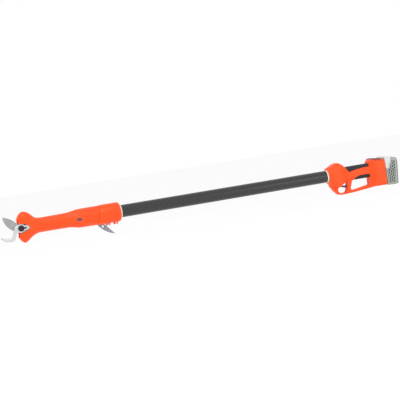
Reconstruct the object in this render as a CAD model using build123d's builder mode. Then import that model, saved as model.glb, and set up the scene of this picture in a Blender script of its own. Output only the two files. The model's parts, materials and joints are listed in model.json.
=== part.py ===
from build123d import *
import math
import os

# Cordless long-reach pruner. Millimetres.
# Origin: middle of the rear grip, on the pole axis. -X runs forward to the blades, +Z is up,
# and Y = 0 is the joint between the left (-Y) and right (+Y) halves of the plastic shells.

# ---------------------------------------------------------------- driving dimensions
pole_radius = 21.0
pole_wall = 2.0
pole_front = -948.0
pole_rear = -72.0
wall = 2.5
running_gap = 0.05
clear_gap = 0.4

# Blade pivot and the stack of parts along it (the pivot axis runs along Y)
pivot_x = -1205.0
pivot_radius = 5.0
hook_front = -18.05
hook_back = -13.55
blade_front = -13.5
blade_back = -10.0
gear_hub_face = -5.2
arm_near = 8.0
arm_far = 14.0
nut_radius = 10.3
nut_height = 7.0
lock_screw_x = pivot_x + 13.6

# Bevel drive: a pinion on the pole axis turns a toothed sector on the cutting blade
bevel_module = 1.25
pinion_teeth = 10
sector_full_teeth = 40
bevel_face = 8.0
pressure_angle = 20.0
flank_clearance = 0.08
pinion_addendum = 1.0
sector_addendum = 0.75
root_clearance = 0.25

# Planetary stage: sun on the motor shaft, fixed ring, carrier on the pinion shaft
planet_module = 0.6
sun_teeth = 12
planet_teeth = 18
ring_teeth = 48
planet_count = 3
planet_front = -1061.5
planet_width = 8.0

# Drive shaft, bearings and motor, as stations along the pole axis
shaft_radius = 4.0
bearing_radius = 11.0
bearing_width = 7.0
head_front = -1172.0
head_back = -1140.0
head_radius = 13.5
case_front = -1072.0
case_radius = 20.5
ring_radius = 18.0
motor_front = -1040.0
motor_back = -984.0
motor_radius = 20.0
motor_wall = 2.0
rotor_radius = 10.0
rotor_shaft_radius = 2.5

# Head shells: station x, top z, bottom z, half width, corner radius
head_stations = [
    (-1219.0, 22.0, -24.0, 16.0, 12.0),
    (-1211.0, 38.5, -39.0, 20.0, 15.0),
    (-1199.0, 50.5, -49.5, 22.5, 17.0),
    (-1186.0, 51.5, -44.0, 24.0, 20.0),
    (-1172.0, 44.0, -34.0, 24.5, 22.0),
    (-1158.0, 30.0, -27.0, 24.5, 23.5),
    (-1144.0, 24.6, -24.4, 24.5, 24.2),
    (-1100.0, 24.6, -24.2, 24.5, 24.0),
    (-1052.0, 25.4, -24.6, 24.8, 24.0),
    (-1030.0, 28.4, -27.4, 27.5, 26.5),
    (-1008.0, 31.2, -31.2, 31.0, 30.5),
    (-930.0, 31.4, -31.6, 31.4, 31.0),
]
head_smooth_parts = 3
seam_x = -947.0
seam_tilt = 14.0

# Pole collar behind the seam
collar_back = -872.0
collar_radius = 32.6
collar_round = 9.0
socket_radius = 25.0

# Branch hook under the collar
hook_plate_half = 2.0
hook_hole_x = -936.9
hook_hole_z = -40.2
hook_hole_radius = 3.5

# Rear handle
handle_front = -124.0
grip_top = 23.0
grip_bottom = -27.0
grip_half_width = 17.0
grip_corner = 13.0
pad_thickness = 2.5
guard_half_width = 11.0
grip_start = -58.0
grip_end = 34.0
trigger_x = -84.0
trigger_z = -39.0
trigger_half_width = 6.5
trigger_pin_radius = 2.0

# Battery and its holder
holder_back = 86.0
battery_half_width = 36.0
battery_gap = 0.5
cell_radius = 9.2
cell_length = 65.0

os.makedirs("parts", exist_ok=True)


def finish(part, name):
    """Label a finished piece and write it as its own file."""
    part.label = name
    export_step(part, f"parts/{name}.step")


def rounded_section(station, inset):
    """Rounded rectangle on the station's YZ plane, pulled in by inset."""
    x, top, bottom, half_width, corner = station
    with BuildSketch(Plane.YZ.offset(x)) as section:
        with Locations((0, (top + bottom) / 2)):
            RectangleRounded(
                2 * (half_width - inset), top - bottom - 2 * inset, corner - inset
            )
    return section.sketch


def smooth_stations(stations, parts):
    """Put parts - 1 more stations in each gap, on a Catmull-Rom curve through the given ones."""
    padded = [stations[0], *stations, stations[-1]]
    smooth = []
    for before, start, end, after in zip(padded, padded[1:], padded[2:], padded[3:]):
        for part in range(parts):
            t = part / parts
            weights = (
                (-t + 2 * t**2 - t**3) / 2,
                (2 - 5 * t**2 + 3 * t**3) / 2,
                (t + 4 * t**2 - 3 * t**3) / 2,
                (t**3 - t**2) / 2,
            )
            near = zip(before, start, end, after)
            x, top, bottom, half_width, corner = (
                sum(weight * value for weight, value in zip(weights, values)) for values in near
            )
            room = min(half_width, (top - bottom) / 2) - 0.1
            smooth.append((x, top, bottom, half_width, min(corner, room)))
    return smooth + [stations[-1]]


def station_solid(stations, inset=0.0, mode=Mode.ADD):
    """Loft the rounded sections of the stations into one body."""
    loft([rounded_section(station, inset) for station in stations], ruled=True, mode=mode)


def disc(plane, radius, u=0.0, v=0.0):
    """Filled circle on a plane, its centre at (u, v) there."""
    with BuildSketch(plane) as circle:
        with Locations((u, v)):
            Circle(radius)
    return circle.sketch


def rod_x(start, end, radius, y=0.0, z=0.0, mode=Mode.ADD):
    """Round bar along the pole axis from start to end."""
    extrude(disc(Plane.YZ.offset(start), radius, y, z), amount=end - start, mode=mode)


def rod_y(start, end, radius, x=0.0, z=0.0, mode=Mode.ADD):
    """Round bar along the width from start (the lower y) to end."""
    extrude(disc(Plane.XZ.offset(-start), radius, x, z), amount=start - end, mode=mode)


def tube_x(start, end, outer, inner):
    """Round tube along the pole axis."""
    rod_x(start, end, outer)
    rod_x(start, end, inner, mode=Mode.SUBTRACT)


def tilted_cut(x, tilt):
    """Plane across the pole at x, leaning back at the top by tilt degrees."""
    lean = math.radians(tilt)
    return Plane(
        origin=(x, 0, 0), x_dir=(0, 1, 0), z_dir=(math.cos(lean), 0, -math.sin(lean))
    )


def side_prism(points, half_width, mode=Mode.ADD):
    """Straight-sided side outline (x, z), carried the same width both ways."""
    with BuildSketch(Plane.XZ) as outline:
        with BuildLine():
            Polyline(points, close=True)
        make_face()
    extrude(outline.sketch, amount=half_width, both=True, mode=mode)


def involute(angle):
    """Involute function of a pressure angle in radians."""
    return math.tan(angle) - angle


def tooth_half(pitch_radius, base_radius, half_angle, radius):
    """Half the tooth's angle at a radius; the flank is radial below the base circle."""
    pitch_pressure = math.acos(base_radius / pitch_radius)
    pressure = math.acos(min(1.0, base_radius / radius))
    return half_angle + involute(pitch_pressure) - involute(pressure)


def gear_points(teeth, module, addendum, dedendum, clearance, phase=0.0, steps=4):
    """Closed outline of an involute gear; phase turns its first tooth, in degrees."""
    pitch_radius = module * teeth / 2
    base_radius = pitch_radius * math.cos(math.radians(pressure_angle))
    root = pitch_radius - dedendum
    tip = pitch_radius + addendum
    half_angle = math.pi / (2 * teeth) - clearance / pitch_radius
    lowest = max(root, base_radius)
    radii = [root] if root < base_radius else []
    radii += [lowest + (tip - lowest) * step / steps for step in range(steps + 1)]
    flank = [(r, tooth_half(pitch_radius, base_radius, half_angle, r)) for r in radii]
    points = []
    for tooth in range(teeth):
        middle = math.radians(phase) + 2 * math.pi * tooth / teeth
        for radius, half in flank:
            points.append((radius, middle - half))
        for radius, half in reversed(flank):
            points.append((radius, middle + half))
    return [(r * math.cos(a), r * math.sin(a)) for r, a in points]


def gear_face(x, centre, points):
    """Gear outline as a face on the YZ plane at x, its centre at (y, z)."""
    y, z = centre
    with BuildSketch(Plane.YZ.offset(x)) as outline:
        with BuildLine():
            Polyline([(y + u, z + v) for u, v in points], close=True)
        make_face()
    return outline.sketch


# ---------------------------------------------------------------- bevel geometry
pinion_cone = math.atan(pinion_teeth / sector_full_teeth)
sector_cone = math.pi / 2 - pinion_cone
pinion_pitch_radius = bevel_module * pinion_teeth / 2
sector_pitch_radius = bevel_module * sector_full_teeth / 2
cone_outer = pinion_pitch_radius / math.sin(pinion_cone)
cone_inner = cone_outer - bevel_face
cone_ratio = cone_inner / cone_outer
apex = Vector(pivot_x, 0, 0)


def tooth_section(element, across, profile, cone_distance):
    """One end of a bevel tooth: its profile, shrunk towards the apex, square to the element."""
    scale = cone_distance / cone_outer
    plane = Plane(origin=apex + element * cone_distance, x_dir=across, z_dir=element * -1)
    with BuildSketch(plane) as end:
        with BuildLine():
            Polyline([(u * scale, v * scale) for u, v in profile], close=True)
        make_face()
    return end.sketch


def bevel_tooth(element, across, profile):
    """Straight bevel tooth between the outer and inner ends of the cone."""
    loft(
        [
            tooth_section(element, across, profile, cone_outer),
            tooth_section(element, across, profile, cone_inner),
        ],
        ruled=True,
    )


def rack_profile(addendum, dedendum, sink):
    """Tooth with straight flanks: (across, height) points, sunk below its root."""
    slope = math.tan(math.radians(pressure_angle))
    half = math.pi * bevel_module / 4 - flank_clearance
    foot = half + (dedendum + sink) * slope
    return [
        (-foot, -dedendum - sink),
        (-half + addendum * slope, addendum),
        (half - addendum * slope, addendum),
        (foot, -dedendum - sink),
    ]


def involute_profile(teeth, addendum, dedendum, sink, steps=4):
    """Tooth with involute flanks: (across, height) points, sunk below its root."""
    pitch_radius = bevel_module * teeth / 2
    base_radius = pitch_radius * math.cos(math.radians(pressure_angle))
    half_angle = math.pi / (2 * teeth) - flank_clearance / pitch_radius
    root = pitch_radius - dedendum
    tip = pitch_radius + addendum
    lowest = max(root, base_radius)
    radii = [root - sink]
    radii += [lowest + (tip - lowest) * step / steps for step in range(steps + 1)]
    right = []
    for radius in radii:
        half = tooth_half(pitch_radius, base_radius, half_angle, radius)
        right.append((radius * math.sin(half), radius * math.cos(half) - pitch_radius))
    left = [(-u, v) for u, v in right]
    return left + right[::-1]


# ---------------------------------------------------------------- blades
blade_tip = (-55.0, 44.0)
blade_back_mid = (-36.5, 37.5)
blade_back_root = (-13.5, 19.5)
blade_edge_mid = (-49.0, 20.5)
blade_edge_root = (-25.5, -4.5)
blade_heel = (-12.0, -11.0)
blade_root_radius = 15.5
blade_bore = 7.0
edge_bevel = 5.0
edge_bevel_depth = 2.6


def around_pivot(point):
    """Side-view point (x, z), from one measured from the pivot."""
    return (pivot_x + point[0], point[1])


with BuildPart() as cutting_blade:
    with BuildSketch(Plane.XZ.offset(-blade_front)):
        with BuildLine():
            back = ThreePointArc(
                around_pivot(blade_tip),
                around_pivot(blade_back_mid),
                around_pivot(blade_back_root),
            )
            root = Line(back @ 1, around_pivot((0.0, 14.0)))
            heel = Line(root @ 1, around_pivot(blade_heel))
            step = Line(heel @ 1, around_pivot(blade_edge_root))
            ThreePointArc(
                step @ 1, around_pivot(blade_edge_mid), around_pivot(blade_tip)
            )
        make_face()
        with Locations((pivot_x, 0)):
            Circle(blade_root_radius)
            Circle(blade_bore, mode=Mode.SUBTRACT)
    extrude(amount=blade_front - blade_back)
    edge_line = (
        cutting_blade.edges()
        .filter_by(GeomType.CIRCLE)
        .group_by(Axis.Y)[-1]
        .sort_by(Axis.X)[0]
    )
    chamfer(edge_line, edge_bevel_depth, edge_bevel)
finish(cutting_blade.part, "cutting_blade")

hook_throat = [
    (-25.5, -6.0),
    (-28.5, -14.0),
    (-33.0, -23.5),
    (-41.0, -25.8),
    (-56.0, -25.4),
    (-72.5, -20.0),
]
hook_outside = [
    (-72.5, -20.0),
    (-60.0, -33.6),
    (-44.0, -38.6),
    (-30.0, -37.6),
    (-21.5, -29.5),
    (-15.5, -15.0),
]
hook_shoulder = [(-24.5, 0.0), (-19.0, 8.0), (-10.0, 12.5)]
hook_eye_radius = 14.5
strap_half_width = 8.5
strap_length = 54.0
hook_screw_x = pivot_x + 47.0
hook_screw_z = 4.6
screw_radius = 1.6

with BuildPart() as hook_blade:
    with BuildSketch(Plane.XZ.offset(-hook_front)):
        with BuildLine():
            Spline([around_pivot(point) for point in hook_throat])
            Spline([around_pivot(point) for point in hook_outside])
            Line(around_pivot(hook_outside[-1]), around_pivot(hook_shoulder[-1]))
            Spline([around_pivot(point) for point in hook_shoulder[::-1]])
            Line(around_pivot(hook_shoulder[0]), around_pivot(hook_throat[0]))
        make_face()
        with Locations((pivot_x, 0)):
            Circle(hook_eye_radius)
        with Locations((pivot_x + strap_length / 2, 0)):
            RectangleRounded(strap_length, 2 * strap_half_width, 4.0)
        with Locations((pivot_x, 0)):
            Circle(pivot_radius, mode=Mode.SUBTRACT)
        with Locations((lock_screw_x, 0)):
            Circle(2.0, mode=Mode.SUBTRACT)
        with Locations((hook_screw_x, hook_screw_z), (hook_screw_x, -hook_screw_z)):
            Circle(screw_radius, mode=Mode.SUBTRACT)
    extrude(amount=hook_front - hook_back)
finish(hook_blade.part, "hook_blade")

sector_first = -8
sector_last = 1
sector_pitch = 360.0 / sector_full_teeth
sector_rim = sector_pitch_radius + 0.8
sector_dedendum = pinion_addendum + root_clearance
pinion_dedendum = sector_addendum + root_clearance
tooth_sink = 0.3
sector_profile = rack_profile(sector_addendum, sector_dedendum, tooth_sink)
root_r = sector_pitch_radius - sector_dedendum * math.cos(sector_cone)
root_y = -pinion_pitch_radius - sector_dedendum * math.sin(sector_cone)
root_overrun = 0.4
root_outside = (cone_outer + root_overrun) / cone_outer
root_inside = (cone_inner - root_overrun) / cone_outer
sector_start = (sector_first - 0.3) * sector_pitch
sector_end = (sector_last + 1.3) * sector_pitch

hub_radius = blade_bore + 3.5
pivot_line = Axis((pivot_x, 0, 0), (0, -1, 0))

with BuildPart() as gear_blank:
    with BuildSketch(Plane.XY):
        with BuildLine():
            Polyline(
                (pivot_x + hub_radius - 1.5, blade_back),
                (pivot_x + hub_radius - 1.5, root_y * root_inside - 0.4),
                (pivot_x + root_r * root_inside - 1.2, root_y * root_inside - 0.4),
                (pivot_x + root_r * root_inside, root_y * root_inside),
                (pivot_x + root_r * root_outside, root_y * root_outside),
                (pivot_x + sector_rim, root_y - 0.6),
                (pivot_x + sector_rim, blade_back),
                close=True,
            )
        make_face()
    revolve(axis=pivot_line, revolution_arc=sector_end - sector_start)

with BuildPart() as blade_gear:
    add(gear_blank.part.rotate(pivot_line, sector_start))
    rod_y(blade_back, gear_hub_face, hub_radius, pivot_x)
    rod_y(blade_back, gear_hub_face, blade_bore, pivot_x, mode=Mode.SUBTRACT)
    for tooth in range(sector_first, sector_last + 1):
        turn = math.radians((tooth + 0.5) * sector_pitch)
        element = Vector(
            math.sin(sector_cone) * math.cos(turn),
            -math.cos(sector_cone),
            math.sin(sector_cone) * math.sin(turn),
        )
        bevel_tooth(element, Vector(-math.sin(turn), 0, math.cos(turn)), sector_profile)
finish(blade_gear.part, "blade_gear")

with BuildPart() as blade_bush:
    rod_y(blade_front, gear_hub_face, blade_bore, pivot_x)
    rod_y(blade_front, gear_hub_face, pivot_radius + running_gap, pivot_x, mode=Mode.SUBTRACT)
finish(blade_bush.part, "blade_bush")

# ---------------------------------------------------------------- pivot bolt, nut and lock screw
nut_notches = 12
nut_face = hook_front - nut_height
hex_head_radius = 8.0
hex_head_height = 5.0

with BuildPart() as pivot_bolt:
    rod_y(nut_face + 1.0, arm_far, pivot_radius, pivot_x)
    with BuildSketch(Plane.XZ.offset(-arm_far)):
        with Locations((pivot_x, 0)):
            RegularPolygon(hex_head_radius, 6)
    extrude(amount=-hex_head_height)
finish(pivot_bolt.part, "pivot_bolt")

with BuildPart() as pivot_nut:
    with BuildSketch(Plane.XZ.offset(-hook_front)):
        with Locations((pivot_x, 0)):
            Circle(nut_radius)
            Circle(pivot_radius, mode=Mode.SUBTRACT)
            with PolarLocations(nut_radius + 0.3, nut_notches):
                Circle(1.3, mode=Mode.SUBTRACT)
    extrude(amount=nut_height)
finish(pivot_nut.part, "pivot_nut")

with BuildPart() as nut_lock_screw:
    rod_y(hook_front, hook_back - 0.05, 2.0, lock_screw_x)
    rod_y(hook_front - 1.2, hook_front, 2.9, lock_screw_x)
    rod_y(hook_front - 4.6, hook_front - 1.2, 3.0, lock_screw_x)
finish(nut_lock_screw.part, "nut_lock_screw")

# ---------------------------------------------------------------- gear head and drive shaft
arm_half_height = 11.0
pad_half_height = 10.0
bearing_stations = [head_front, head_back - bearing_width]

with BuildPart() as gear_head:
    rod_x(head_front, head_back, head_radius)
    side_prism(
        [
            (head_front, -pad_half_height),
            (head_back, -pad_half_height),
            (head_back, pad_half_height),
            (head_front, pad_half_height),
        ],
        -hook_back,
    )
    with BuildSketch(Plane.XZ.offset(-arm_near)):
        with Locations((pivot_x, 0)):
            Circle(arm_half_height)
        with Locations(((pivot_x + head_back) / 2, 0)):
            Rectangle(head_back - pivot_x, 2 * arm_half_height)
    extrude(amount=arm_near - arm_far)
    rod_y(gear_hub_face + 2 * running_gap, arm_near + 1.0, pivot_radius + 2.5, pivot_x)
    rod_y(gear_hub_face, arm_far, pivot_radius, pivot_x, mode=Mode.SUBTRACT)
    rod_x(head_front, head_back, shaft_radius + 3.0, mode=Mode.SUBTRACT)
    for start in bearing_stations:
        rod_x(start, start + bearing_width, bearing_radius, mode=Mode.SUBTRACT)
    for z in (-hook_screw_z, hook_screw_z):
        rod_y(hook_back, -shaft_radius - 3.0, screw_radius, hook_screw_x, z, Mode.SUBTRACT)
finish(gear_head.part, "gear_head")

with BuildPart() as shaft_bearings:
    for start in bearing_stations:
        tube_x(start, start + bearing_width, bearing_radius, shaft_radius + running_gap)
finish(shaft_bearings.part, "shaft_bearings")

with BuildPart() as hook_blade_screws:
    for z in (-hook_screw_z, hook_screw_z):
        rod_y(hook_front, -shaft_radius - 4.0, screw_radius, hook_screw_x, z)
        rod_y(hook_front - 1.4, hook_front, 2 * screw_radius, hook_screw_x, z)
finish(hook_blade_screws.part, "hook_blade_screws")

pinion_root_outer = cone_outer * math.cos(pinion_cone) + pinion_dedendum * math.sin(pinion_cone)
pinion_root_radius = pinion_pitch_radius - pinion_dedendum * math.cos(pinion_cone)
carrier_front = -1066.5
carrier_back = planet_front - running_gap
shaft_back = carrier_back - 0.5

with BuildPart() as pinion_shaft:
    with BuildSketch(Plane.XY):
        with BuildLine():
            Polyline(
                (pivot_x + pinion_root_outer * cone_ratio, 0),
                (pivot_x + pinion_root_outer * cone_ratio, pinion_root_radius * cone_ratio),
                (pivot_x + pinion_root_outer, pinion_root_radius),
                (head_front - running_gap, pinion_root_radius),
                (head_front - running_gap, shaft_radius),
                (shaft_back, shaft_radius),
                (shaft_back, 0),
                close=True,
            )
        make_face()
    revolve(axis=Axis.X)
    pinion_profile = involute_profile(
        pinion_teeth / math.cos(pinion_cone), pinion_addendum, pinion_dedendum, tooth_sink
    )
    for tooth in range(pinion_teeth):
        turn = 2 * math.pi * tooth / pinion_teeth
        element = Vector(
            math.cos(pinion_cone),
            -math.sin(pinion_cone) * math.cos(turn),
            math.sin(pinion_cone) * math.sin(turn),
        )
        across = Vector(0, -math.sin(turn), -math.cos(turn))
        bevel_tooth(element, across, pinion_profile)
finish(pinion_shaft.part, "pinion_shaft")

# ---------------------------------------------------------------- planetary stage
planet_orbit = planet_module * (sun_teeth + planet_teeth) / 2
spur_clearance = 0.04
spur_addendum = 0.48
spur_dedendum = 0.6
pin_radius = 1.5
carrier_radius = 13.0
planet_back = planet_front + planet_width
ring_front = planet_front - 0.5
ring_back = planet_back + 0.5
planet_angles = [360.0 * index / planet_count for index in range(planet_count)]


def planet_centre(angle):
    """Centre (y, z) of the planet that stands at an angle round the pole axis."""
    turn = math.radians(angle)
    return (planet_orbit * math.cos(turn), planet_orbit * math.sin(turn))


with BuildPart() as planet_carrier:
    rod_x(carrier_front, carrier_back, carrier_radius)
    rod_x(carrier_front, carrier_back, shaft_radius, mode=Mode.SUBTRACT)
    for angle in planet_angles:
        y, z = planet_centre(angle)
        rod_x(carrier_front, carrier_back, pin_radius, y, z, Mode.SUBTRACT)
finish(planet_carrier.part, "planet_carrier")

with BuildPart() as planet_pins:
    for angle in planet_angles:
        y, z = planet_centre(angle)
        rod_x(carrier_front, planet_back, pin_radius, y, z)
finish(planet_pins.part, "planet_pins")

for index, angle in enumerate(planet_angles):
    centre = planet_centre(angle)
    outline = gear_points(
        planet_teeth,
        planet_module,
        spur_addendum,
        spur_dedendum,
        spur_clearance,
        phase=angle + 180.0 / planet_teeth,
    )
    with BuildPart() as planet_gear:
        extrude(gear_face(planet_front, centre, outline), amount=planet_width)
        rod_x(planet_front, planet_back, pin_radius + running_gap, *centre, Mode.SUBTRACT)
    finish(planet_gear.part, f"planet_gear_{index + 1}")

with BuildPart() as ring_gear:
    rod_x(ring_front, ring_back, ring_radius)
    ring_hole = gear_points(
        ring_teeth,
        planet_module,
        spur_dedendum,
        spur_addendum,
        -spur_clearance,
        phase=180.0 / ring_teeth,
    )
    extrude(
        gear_face(ring_front, (0, 0), ring_hole),
        amount=ring_back - ring_front,
        mode=Mode.SUBTRACT,
    )
finish(ring_gear.part, "ring_gear")

with BuildPart() as sun_gear:
    sun_outline = gear_points(
        sun_teeth, planet_module, spur_addendum, spur_dedendum, spur_clearance
    )
    extrude(gear_face(planet_front, (0, 0), sun_outline), amount=planet_width)
    rod_x(planet_front, planet_back, rotor_shaft_radius, mode=Mode.SUBTRACT)
finish(sun_gear.part, "sun_gear")

tube_outer = 11.5
tube_inner = 9.5
case_back = motor_front
with BuildPart() as drive_tube:
    tube_x(head_back, case_front, tube_outer, tube_inner)
finish(drive_tube.part, "drive_tube")

case_wall = 3.0
with BuildPart() as gearbox_case:
    rod_x(case_front, case_back, case_radius)
    rod_x(case_front + case_wall, case_back, ring_radius, mode=Mode.SUBTRACT)
    rod_x(case_front, case_back, shaft_radius + 1.0, mode=Mode.SUBTRACT)
finish(gearbox_case.part, "gearbox_case")

# ---------------------------------------------------------------- motor
flange = 4.0
stator_front = motor_front + 10.0
stator_back = motor_back - 10.0
stator_inner = 11.0
slot_count = 6
slot_orbit = 14.5
slot_radius = 2.2
end_cap = 5.0
shaft_end = motor_back + 3.5

with BuildPart() as motor_can:
    rod_x(motor_front, motor_back, motor_radius)
    rod_x(motor_front + flange, motor_back, motor_radius - motor_wall, mode=Mode.SUBTRACT)
    rod_x(motor_front, motor_back, rotor_shaft_radius + running_gap, mode=Mode.SUBTRACT)
finish(motor_can.part, "motor_can")

with BuildPart() as motor_stator:
    tube_x(stator_front, stator_back, motor_radius - motor_wall, stator_inner)
    with BuildSketch(Plane.YZ.offset(stator_front)):
        with PolarLocations(slot_orbit, slot_count):
            Circle(slot_radius)
    extrude(amount=stator_back - stator_front, mode=Mode.SUBTRACT)
finish(motor_stator.part, "motor_stator")

with BuildPart() as stator_windings:
    with BuildSketch(Plane.YZ.offset(stator_front - 4.0)):
        with PolarLocations(slot_orbit, slot_count):
            Circle(slot_radius)
    extrude(amount=stator_back - stator_front + 8.0)
finish(stator_windings.part, "stator_windings")

with BuildPart() as motor_shaft:
    rod_x(planet_front, shaft_end, rotor_shaft_radius)
finish(motor_shaft.part, "motor_shaft")

with BuildPart() as rotor_magnets:
    tube_x(stator_front, stator_back, rotor_radius, rotor_shaft_radius)
finish(rotor_magnets.part, "rotor_magnets")

with BuildPart() as motor_end_cap:
    rod_x(motor_back, motor_back + end_cap, motor_radius)
    rod_x(motor_back, shaft_end + 0.3, rotor_shaft_radius + running_gap, mode=Mode.SUBTRACT)
finish(motor_end_cap.part, "motor_end_cap")

cradle_front = -1006.0
cradle_width = 10.0
cradle_radius = 28.0
with BuildPart() as motor_cradle:
    tube_x(cradle_front, cradle_front + cradle_width, cradle_radius, motor_radius)
finish(motor_cradle.part, "motor_cradle")

# ---------------------------------------------------------------- head shells
front_wall = 3.0
head_hollow_front = head_stations[0][0] + front_wall
mouth_top = 26.0
mouth_bottom = -26.0
window_radius = 15.5
window_rear_x = pivot_x + 18.5
window_rear_radius = 9.5
seam_plane = tilted_cut(seam_x, seam_tilt)
boss_radius = 4.0
head_screw_spots = [
    (-1190.0, 38.0, 19.5),
    (-1188.0, -34.0, 16.0),
    (-1128.0, 16.5, 13.5),
    (-1128.0, -16.5, 13.5),
    (-1086.0, 16.5, 13.5),
    (-1086.0, -16.5, 13.5),
]
screw_bite = 8.0
head_screw_radius = 1.5
head_screw_head = 2.9
pocket_x = -1014.0
pocket_z = -2.0
pocket_length = 14.0
pocket_height = 7.0
pocket_floor = 28.4
pocket_reach = 6.0
bolt_head_clearance = 9.0

head_curve = smooth_stations(head_stations, head_smooth_parts)

with BuildPart() as head_outer:
    station_solid(head_curve)
    split(bisect_by=seam_plane, keep=Keep.BOTTOM)

with BuildPart() as head_hollow:
    station_solid([station for station in head_curve if station[0] > head_hollow_front], wall)

with BuildPart() as head_body:
    add(head_outer.part)
    add(head_hollow.part, mode=Mode.SUBTRACT)
    side_prism(
        [
            (head_stations[0][0] - 1.0, mouth_bottom),
            (head_stations[0][0] + front_wall + 3.0, mouth_bottom),
            (head_stations[0][0] + front_wall + 3.0, mouth_top),
            (head_stations[0][0] - 1.0, mouth_top),
        ],
        -hook_front + clear_gap,
        mode=Mode.SUBTRACT,
    )

with BuildPart() as head_shell_left:
    add(head_body.part)
    split(bisect_by=Plane.XZ, keep=Keep.TOP)
    for x, z, depth in head_screw_spots:
        rod_y(-depth, 0, boss_radius, x, z)
        rod_y(-screw_bite - 1.0, 0, head_screw_radius, x, z, Mode.SUBTRACT)
    rod_y(-27.0, hook_back, window_radius, pivot_x, mode=Mode.SUBTRACT)
    rod_y(-27.0, hook_back, window_rear_radius, window_rear_x, mode=Mode.SUBTRACT)
    side_prism(
        [
            (pivot_x + 3.2, -window_radius + 0.4),
            (window_rear_x + 2.0, -window_rear_radius + 0.2),
            (window_rear_x + 2.0, window_rear_radius - 0.2),
            (pivot_x + 3.2, window_radius - 0.4),
            (pivot_x - 16.0, window_radius - 0.4),
            (pivot_x - 16.0, -window_radius + 0.4),
        ],
        27.0,
        mode=Mode.SUBTRACT,
    )
    with BuildSketch(Plane.XZ.offset(pocket_floor)):
        with Locations((pocket_x, pocket_z)):
            SlotOverall(pocket_length, pocket_height, rotation=-8)
    extrude(amount=pocket_reach, mode=Mode.SUBTRACT)
finish(head_shell_left.part, "head_shell_left")

with BuildPart() as head_shell_right:
    add(head_body.part)
    split(bisect_by=Plane.XZ, keep=Keep.BOTTOM)
    for x, z, depth in head_screw_spots:
        rod_y(0, depth, boss_radius, x, z)
        rod_y(0, depth - 1.0, head_screw_radius, x, z, Mode.SUBTRACT)
        rod_y(depth - 1.0, 30.0, head_screw_head, x, z, Mode.SUBTRACT)
    rod_y(arm_far, 30.0, bolt_head_clearance, pivot_x, mode=Mode.SUBTRACT)
finish(head_shell_right.part, "head_shell_right")

# ---------------------------------------------------------------- pole, socket and collar
socket_flange = 8.0
socket_stop = 17.0
socket_back = collar_back - 8.0
ring_width = 8.0

with BuildPart() as pole_socket:
    rod_x(-974.0, socket_back, socket_radius)
    rod_x(-974.0, -974.0 + socket_flange, cradle_radius)
    rod_x(-974.0, pole_front, socket_stop, mode=Mode.SUBTRACT)
    rod_x(pole_front, socket_back, pole_radius, mode=Mode.SUBTRACT)
finish(pole_socket.part, "pole_socket")

hook_root = [(-953.0, -25.5), (-930.0, -25.5)]
hook_tip = (-899.0, -70.0)
hook_lower = (-931.0, -55.5)
hook_notch = (-916.5, -49.5)
hook_neck = (-930.0, -33.5)
hook_screw_spots = [(-947.0, -28.9), (-936.0, -28.9)]
lug_spans = [(-925.0, -911.0), (-899.0, -885.0)]
lug_bottom = -38.5
lug_top = -29.0
lug_screw_z = -35.0
lug_half_width = 7.0
slit_half = 0.6

with BuildPart() as pole_collar:
    rod_x(seam_x - 12.0, collar_back, collar_radius)
    rear_edge = pole_collar.edges().filter_by(GeomType.CIRCLE).sort_by(Axis.X)[-1]
    fillet(rear_edge, collar_round)
    split(bisect_by=seam_plane, keep=Keep.TOP)
    for start, end in lug_spans:
        lug = [(start, lug_bottom), (end, lug_bottom), (end, lug_top), (start, lug_top)]
        side_prism(lug, lug_half_width)
    rod_x(seam_x - 12.0, socket_back, socket_radius, mode=Mode.SUBTRACT)
    rod_x(socket_back, collar_back, pole_radius + 1.6, mode=Mode.SUBTRACT)
    side_prism(
        [(-956.0, -40.0), (-928.5, -40.0), (-928.5, -25.5), (-956.0, -25.5)],
        hook_plate_half,
        Mode.SUBTRACT,
    )
    side_prism(
        [(-928.5, -42.0), (collar_back, -42.0), (collar_back, -24.0), (-928.5, -24.0)],
        slit_half,
        Mode.SUBTRACT,
    )
    for x, z in hook_screw_spots:
        rod_y(-13.0, 13.0, screw_radius, x, z, Mode.SUBTRACT)
    for start, end in lug_spans:
        rod_y(-8.0, 8.0, screw_radius, (start + end) / 2, lug_screw_z, Mode.SUBTRACT)
finish(pole_collar.part, "pole_collar")

with BuildPart() as collar_screws:
    for start, end in lug_spans:
        rod_y(-lug_half_width, lug_half_width, screw_radius, (start + end) / 2, lug_screw_z)
        rod_y(-lug_half_width - 2.4, -lug_half_width, 2.9, (start + end) / 2, lug_screw_z)
    for x, z in hook_screw_spots:
        rod_y(-13.0, 13.0, screw_radius, x, z)
finish(collar_screws.part, "collar_screws")

with BuildPart() as branch_hook:
    with BuildSketch(Plane.XZ):
        with BuildLine():
            Polyline(hook_root[1], hook_root[0], (hook_root[0][0], -33.5))
            ThreePointArc((hook_root[0][0], -33.5), hook_lower, hook_tip)
            ThreePointArc(hook_tip, hook_notch, hook_neck)
            Line(hook_neck, hook_root[1])
        make_face()
        with Locations((hook_hole_x, hook_hole_z)):
            Circle(hook_hole_radius, mode=Mode.SUBTRACT)
        with Locations(*hook_screw_spots):
            Circle(screw_radius, mode=Mode.SUBTRACT)
    extrude(amount=hook_plate_half, both=True)
finish(branch_hook.part, "branch_hook")

with BuildPart() as pole_rings:
    for start in (collar_back - ring_width / 2, handle_front - ring_width / 2):
        tube_x(start, start + ring_width, pole_radius + 1.6, pole_radius)
finish(pole_rings.part, "pole_rings")

with BuildPart() as pole_tube:
    tube_x(pole_front, pole_rear, pole_radius, pole_radius - pole_wall)
finish(pole_tube.part, "pole_tube")

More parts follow.
